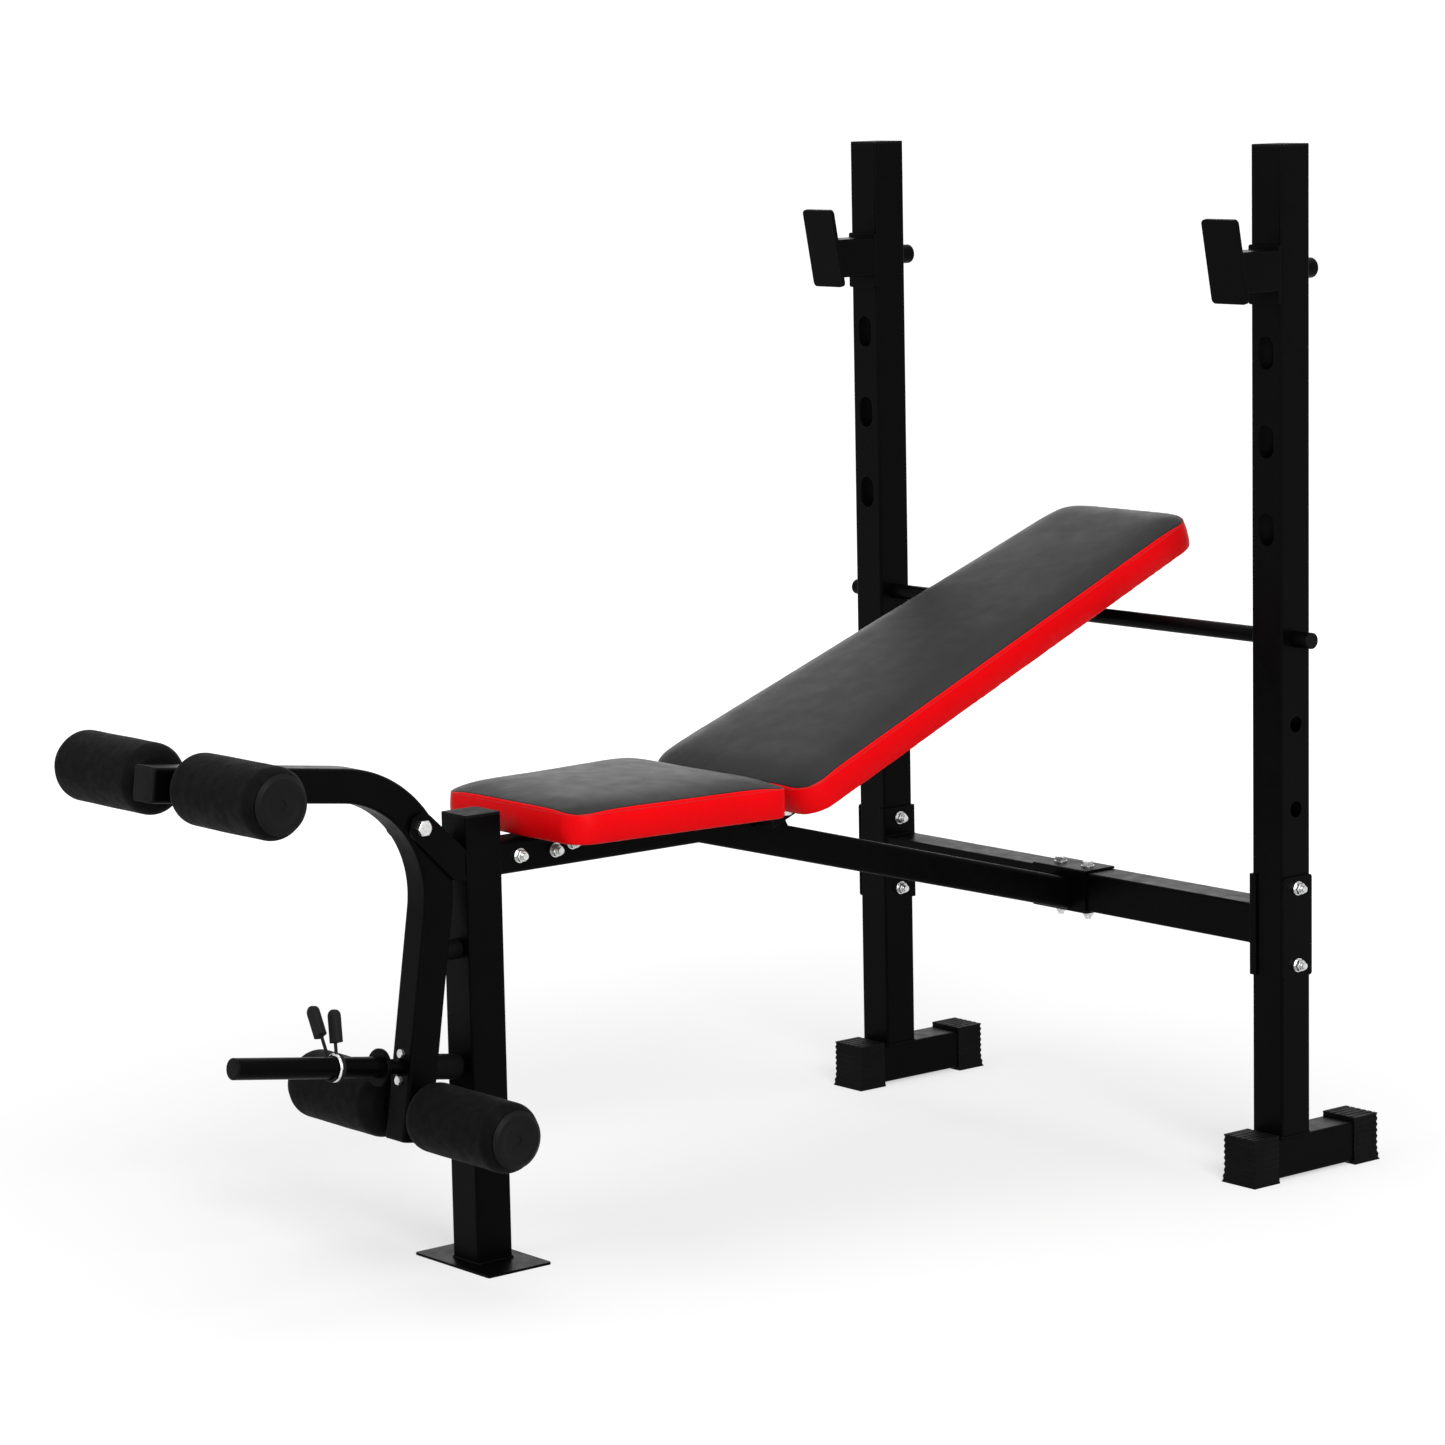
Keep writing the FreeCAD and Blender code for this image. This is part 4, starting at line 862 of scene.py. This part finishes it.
    def build(self, finishes: Finishes) -> None:
        """Make the pad, its band, its stitches and its staples.

        Args:
            finishes: All finishes.
        """
        leather, red = finishes.table[Slot.LEATHER], finishes.table[Slot.BAND]
        bm, held = self.cage()
        pad = to_object(self.name, bm, [leather, red, finishes.table[Slot.BOARD]])
        self.fill(pad, held)
        pad.modifiers.new("smooth", "SUBSURF").levels = 1
        baked(pad)
        self.relief(pad)
        pad.matrix_world = self.plane
        band = self.band(pad, [red])
        bm = bmesh.new()
        bm.from_mesh(band.data)
        tree = BVHTree.FromBMesh(bm)
        bm.free()
        rows = [
            (band, Slot.BAND),
            (self.stitches(tree, self.name + "_stitching", 0.0, self.seam - 4 * MM, 3.9 * MM,
                           2.9 * MM, 0.34 * MM, finishes.thread), Slot.BAND),
            (self.stitches(tree, self.name + "_staples", 20 * MM, self.bottom - 1 * MM, 38 * MM,
                           10 * MM, 0.45 * MM, finishes.table[Slot.ZINC]), Slot.ZINC),
        ]
        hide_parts(self.node)
        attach(pad, self.body)
        for piece, slot in rows:
            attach(piece, self.body)
        LOG.info("%s: %d faces", self.name, len(pad.data.polygons))


@dataclass
class FoamRoller:
    """A foam sleeve with rounded shoulders round a steel tube."""

    name: str
    bore: float = 12.6 * MM
    fillet: float = 17 * MM
    sides: int = 112
    steps: int = 64

    def profile(self, low: Vector, high: Vector) -> list[tuple[float, float]]:
        """Return (x, radius) round the sleeve's half section.

        Args:
            low: Lowest corner of the CAD sleeve.
            high: Highest corner.

        Returns:
            A closed line.
        """
        radius = (high.z - low.z) / 2
        start, end = low.x, high.x
        flat = radius - self.fillet
        line = [(start, self.bore + (flat - self.bore) * t) for t in (0.0, 0.15, 0.5, 0.85)]
        line += [(start + self.fillet * (1 - math.cos(a)), flat + self.fillet * math.sin(a))
                 for a in (math.pi / 2 * k / 14 for k in range(15))]
        length = end - start - 2 * self.fillet
        line += [(start + self.fillet + length * k / self.steps, radius) for k in range(1, self.steps)]
        line += [(start + end - x, r) for x, r in reversed(line[:19])]
        return line

    def build(self, finishes: Finishes) -> None:
        """Make the sleeve in the CAD sleeve's place.

        Args:
            finishes: All finishes.
        """
        low, high = (Vector(corner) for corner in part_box(self.name))
        centre = (low + high) / 2
        line = self.profile(low, high)
        bm = bmesh.new()
        rings = []
        for x, radius in line:
            ring = []
            for k in range(self.sides):
                a = math.tau * k / self.sides
                spot = Vector((x, centre.y + radius * math.cos(a), centre.z + radius * math.sin(a)))
                give = (noise.noise(spot * 14) * 0.5 + noise.noise(spot * 60) * 0.14) * MM - 0.35 * MM
                if radius > self.bore + 1 * MM:
                    spot += Vector((0, math.cos(a), math.sin(a))) * give
                ring.append(bm.verts.new(spot))
            rings.append(ring)
        for first, second in zip(rings, rings[1:] + rings[:1]):
            for k in range(self.sides):
                n = (k + 1) % self.sides
                bm.faces.new((first[k], first[n], second[n], second[k]))
        made = to_object("sleeve_" + self.name, bm, [finishes.table[Slot.FOAM]])
        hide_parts(self.name)
        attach(made, self.name.replace("foam_", ""))
        LOG.info("%s: %d faces", made.name, len(made.data.polygons))


@dataclass
class WeldBead:
    """A coated weld bead with the scallops of a hand-laid run."""

    name: str
    body: str
    radius: float = 2.1 * MM
    ripple: float = 1.9 * MM

    def section(self, node: str, spot: Vector, normal: Vector) -> list[Vector]:
        """Return the longest loop in which a plane cuts a CAD node.

        Args:
            node: The CAD node.
            spot: A point of the plane.
            normal: The plane's normal.

        Returns:
            The loop's corners in order, the first one again at the end.
        """
        bm = bmesh.new()
        bm.from_mesh(frame["nodes"][node].data)
        bmesh.ops.bisect_plane(bm, geom=bm.verts[:] + bm.edges[:] + bm.faces[:], plane_co=spot,
                               plane_no=normal, clear_inner=True, clear_outer=True)
        bmesh.ops.remove_doubles(bm, verts=bm.verts, dist=0.01 * MM)
        loops, seen = [], set()
        for vertex in bm.verts:
            line, here = [], vertex
            while here is not None and here not in seen:
                seen.add(here)
                line.append(here.co.copy())
                others = (edge.other_vert(here) for edge in here.link_edges)
                here = next((other for other in others if other not in seen), None)
            if len(line) > 2:
                loops.append(line + line[:1])
        bm.free()
        return max(loops, key=girth, default=[])

    def run(self, bm: bmesh.types.BMesh, line: Sequence[Vector], up: Vector, closed: bool) -> None:
        """Add one run.

        Args:
            bm: The mesh to add to.
            line: The corner line it lies in.
            up: A direction that is never along the line.
            closed: Whether it closes on itself.
        """
        count = max(12, round(girth(line) / (self.ripple / 4)))
        points = resample(line, count)
        radii = []
        for i, point in enumerate(points):
            wave = abs(math.sin(math.pi * i / 4))
            uneven = 1 + 0.16 * noise.noise(point * 130)
            ends = 1.0 if closed else min(1.0, 0.35 + min(i, count - 1 - i) / 8)
            radii.append(self.radius * (0.86 + 0.14 * wave) * uneven * ends)
        sweep(bm, points, radii, up, 10, closed)

    def round(self, finishes: Finishes, cuts: Iterable[tuple[str, Vector, Vector]]) -> None:
        """Weld round whole sections.

        Args:
            finishes: All finishes.
            cuts: The node, a point and the normal of each cutting plane.
        """
        bm = bmesh.new()
        for node, spot, normal in cuts:
            line = self.section(node, spot, normal)
            if line:
                self.run(bm, line, normal, True)
        self.place(bm, finishes)

    def straight(self, finishes: Finishes, lines: Iterable[tuple[Vector, Vector]]) -> None:
        """Weld along straight corners.

        Args:
            finishes: All finishes.
            lines: Both ends of each run.
        """
        bm = bmesh.new()
        for first, last in lines:
            across = Vector((1, 0, 0)) if abs((last - first).normalized().x) < 0.5 else Vector((0, 0, 1))
            self.run(bm, [first, last], across, False)
        self.place(bm, finishes)

    def place(self, bm: bmesh.types.BMesh, finishes: Finishes) -> None:
        """Finish the bead and let it ride its body.

        Args:
            bm: The beads.
            finishes: All finishes.
        """
        made = to_object(self.name, bm, [finishes.table[Slot.POWDER]])
        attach(made, self.body)
        LOG.info("%s: %d faces", self.name, len(made.data.polygons))


@dataclass
class Bench:
    """All modelled pieces of the bench, placed from the CAD frame."""

    finishes: Finishes
    incline: float = math.radians(21.5)
    seam_rise: float = 39 * MM  # from the board's underside to the seam
    crown_rise: float = 49 * MM  # and to the top of the dome
    rail: float = 15 * MM  # half the height of a backrest rail

    def joint(self, name: str) -> Vector:
        """Return the place of a joint.

        Args:
            name: The joint.

        Returns:
            Its origin in the row frame.
        """
        found = next(j for j in frame["joints"] if j["name"] == name)
        return Vector(found["pos_m"])

    def cushions(self) -> None:
        """Make the seat and the backrest."""
        low, high = (Vector(corner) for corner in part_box("seat_pad"))
        bottom = low.z
        Cushion("seat_cushion", "frame", "seat_pad", Matrix.Identity(4), low.y, high.y,
                131 * MM, high.x, 30 * MM, 12 * MM,
                bottom, bottom + self.seam_rise, bottom + self.crown_rise).build(self.finishes)
        hinge = self.joint("backrest_lift")
        plane = Matrix.Translation(hinge) @ Matrix.Rotation(self.incline, 4, "X")
        Cushion("backrest_cushion", "backrest", "backrest_pad", plane, -31 * MM, 703 * MM,
                153 * MM, 116 * MM, 32 * MM, 32 * MM, self.rail,
                self.rail + self.seam_rise, self.rail + self.crown_rise).build(self.finishes)

    def rollers(self) -> None:
        """Make the four foam rollers."""
        for height in ("upper", "lower"):
            for side in SIDES:
                FoamRoller(f"foam_roller_{height}_{side}").build(self.finishes)

    def welds(self) -> None:
        """Lay the weld beads."""
        up, across = Vector((0, 0, 1)), Vector((1, 0, 0))
        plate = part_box("base_plate")[1][2]
        above = 0.4 * MM
        cuts = [("front_post", Vector((0, 0, plate + above)), up)]
        for side in SIDES:
            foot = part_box(f"foot_tube_{side}")[1][2]
            cuts.append((f"upright_{side}", Vector((0, 0, foot + above)), up))
            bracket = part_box(f"beam_bracket_{side}")
            inner = bracket[1][0] if side == "left" else bracket[0][0]
            cuts.append(("crossbeam", Vector((inner - SIDES[side] * above, 0, 0)), across))
        WeldBead("frame_welds", "frame").round(self.finishes, cuts)
        low, high = (Vector(corner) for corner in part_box("pivot_ears"))
        pivot = self.joint("lever_swing").z
        lines = [(Vector((x, high.y, pivot - 66 * MM)), Vector((x, high.y, pivot - 36 * MM)))
                 for x in (low.x, high.x)]
        WeldBead("ear_welds", "frame", 1.9 * MM).straight(self.finishes, lines)


@dataclass(frozen=True)
class Softbox:
    """One soft lamp."""

    name: str
    place: Colour
    size: tuple[float, float]
    power: float
    aim: Colour = (0.0, 0.0, 0.6)

    def build(self) -> None:
        """Hang the lamp."""
        data = bpy.data.lights.new(self.name, "AREA")
        data.shape = "RECTANGLE"
        data.size, data.size_y = self.size
        data.energy = self.power
        lamp = bpy.data.objects.new(self.name, data)
        lamp.location = self.place
        lamp.rotation_euler = (Vector(self.aim) - Vector(self.place)).to_track_quat("-Z", "Y").to_euler()
        lamp.visible_camera = False
        bpy.context.scene.collection.objects.link(lamp)


def seen_rays(tree: bpy.types.NodeTree) -> Socket:
    """Return 1 for rays from the camera, off gloss or through glass, and 0 for the rest.

    Args:
        tree: The node tree to add to.

    Returns:
        The value socket.
    """
    rays = tree.nodes.new("ShaderNodeLightPath").outputs
    value = rays["Is Camera Ray"]
    for name in ("Is Glossy Ray", "Is Transmission Ray"):
        joined = tree.nodes.new("ShaderNodeMath")
        joined.operation = "MAXIMUM"
        tree.links.new(value, joined.inputs[0])
        tree.links.new(rays[name], joined.inputs[1])
        value = joined.outputs[0]
    return value


@dataclass
class Studio:
    """Pale floor, white surroundings, soft lamps and the camera."""

    azimuth: float = math.radians(50.75)
    elevation: float = math.radians(8.5)
    roll: float = math.radians(-1.13)
    place: Colour = (4.193, -3.381, 1.404)
    lens: float = 113.2
    floor_size: float = 60.0
    glow: float = 0.56
    surround: float = 0.16

    def floor(self) -> None:
        """Lay the floor, which keeps the shadows and is topped up to white where it is seen."""
        bm = bmesh.new()
        bmesh.ops.create_grid(bm, x_segments=24, y_segments=24, size=self.floor_size)
        g = Graph("floor")
        cloud = g.span(g.noise(1.5, 3.0), (0.4, 0.6), (0.0, 1.0))
        tone = g.blend(cloud, (0.42, 0.42, 0.42), (0.41, 0.41, 0.41))
        g.finish(Base_Color=tone, Roughness=0.9, Specular_IOR_Level=0.0, Emission_Color=(1.0, 1.0, 1.0))
        away = g.node("VectorMath", {"operation": "LENGTH"}, Vector=g.place).outputs["Value"]
        seen = g.node("Math", {"operation": "MULTIPLY"})
        g.feed(seen.inputs[0], seen_rays(g.tree))
        g.feed(seen.inputs[1], g.span(away, (0.6, 3.2), (self.glow, 1.02)))
        g.feed(g.shader.inputs["Emission Strength"], seen.outputs[0])
        to_object("floor", bm, [g.material])

    def surroundings(self) -> None:
        """Make the world white where it is seen, reflected or seen through, and dimmer as a lamp."""
        world = bpy.data.worlds.new("surroundings")
        bpy.context.scene.world = world
        world.use_nodes = True
        tree = world.node_tree
        tree.nodes.clear()
        seen = tree.nodes.new("ShaderNodeMapRange")
        seen.inputs["To Min"].default_value = self.surround
        seen.inputs["To Max"].default_value = 1.0
        sky = tree.nodes.new("ShaderNodeBackground")
        sky.inputs["Color"].default_value = (1.0, 1.0, 1.0, 1.0)
        out = tree.nodes.new("ShaderNodeOutputWorld")
        tree.links.new(seen_rays(tree), seen.inputs["Value"])
        tree.links.new(seen.outputs[0], sky.inputs["Strength"])
        tree.links.new(sky.outputs[0], out.inputs["Surface"])

    def lamps(self) -> None:
        """Hang the lamps."""
        for lamp in (Softbox("key", (4.3, -1.8, 2.9), (2.4, 2.4), 250.0),
                     Softbox("front", (-0.6, -5.2, 2.6), (3.0, 2.4), 70.0),
                     Softbox("top", (0.0, 0.2, 4.6), (4.0, 4.0), 90.0, (0.0, 0.2, 0.0)),
                     Softbox("glint", (-4.6, 4.4, 1.9), (5.0, 2.6), 28.0)):
            lamp.build()

    def camera(self) -> None:
        """Set the camera."""
        sa, ca, se, ce = (f(a) for a in (self.azimuth, self.elevation) for f in (math.sin, math.cos))
        forward = Vector((-sa * ce, ca * ce, -se))
        right = Vector((ca, sa, 0.0))
        up = right.cross(forward)
        right, up = (right * math.cos(self.roll) + up * math.sin(self.roll),
                     up * math.cos(self.roll) - right * math.sin(self.roll))
        data = bpy.data.cameras.new("camera")
        data.lens, data.sensor_width = self.lens, 36.0
        data.clip_end = 200.0
        eye = bpy.data.objects.new("camera", data)
        turn = Matrix((right, up, -forward)).transposed().to_4x4()
        eye.matrix_world = Matrix.Translation(Vector(self.place)) @ turn
        bpy.context.scene.collection.objects.link(eye)
        bpy.context.scene.camera = eye

    def build(self) -> None:
        """Set up the whole studio."""
        self.floor()
        self.surroundings()
        self.lamps()
        self.camera()
        bpy.context.scene.view_settings.view_transform = "Standard"


def main() -> None:
    """Dress the frame, model the soft pieces and welds, and set up the studio."""
    logging.basicConfig(level=logging.INFO, format="%(relativeCreated)7.0f ms %(name)s: %(message)s")
    finishes = Finishes.make()
    finishes.dress_frame()
    LOG.info("frame dressed: %d nodes", len(frame["nodes"]))
    bench = Bench(finishes)
    bench.cushions()
    bench.rollers()
    bench.welds()
    Studio().build()
    LOG.info("sizes written")


if __name__ == "__main__":
    main()
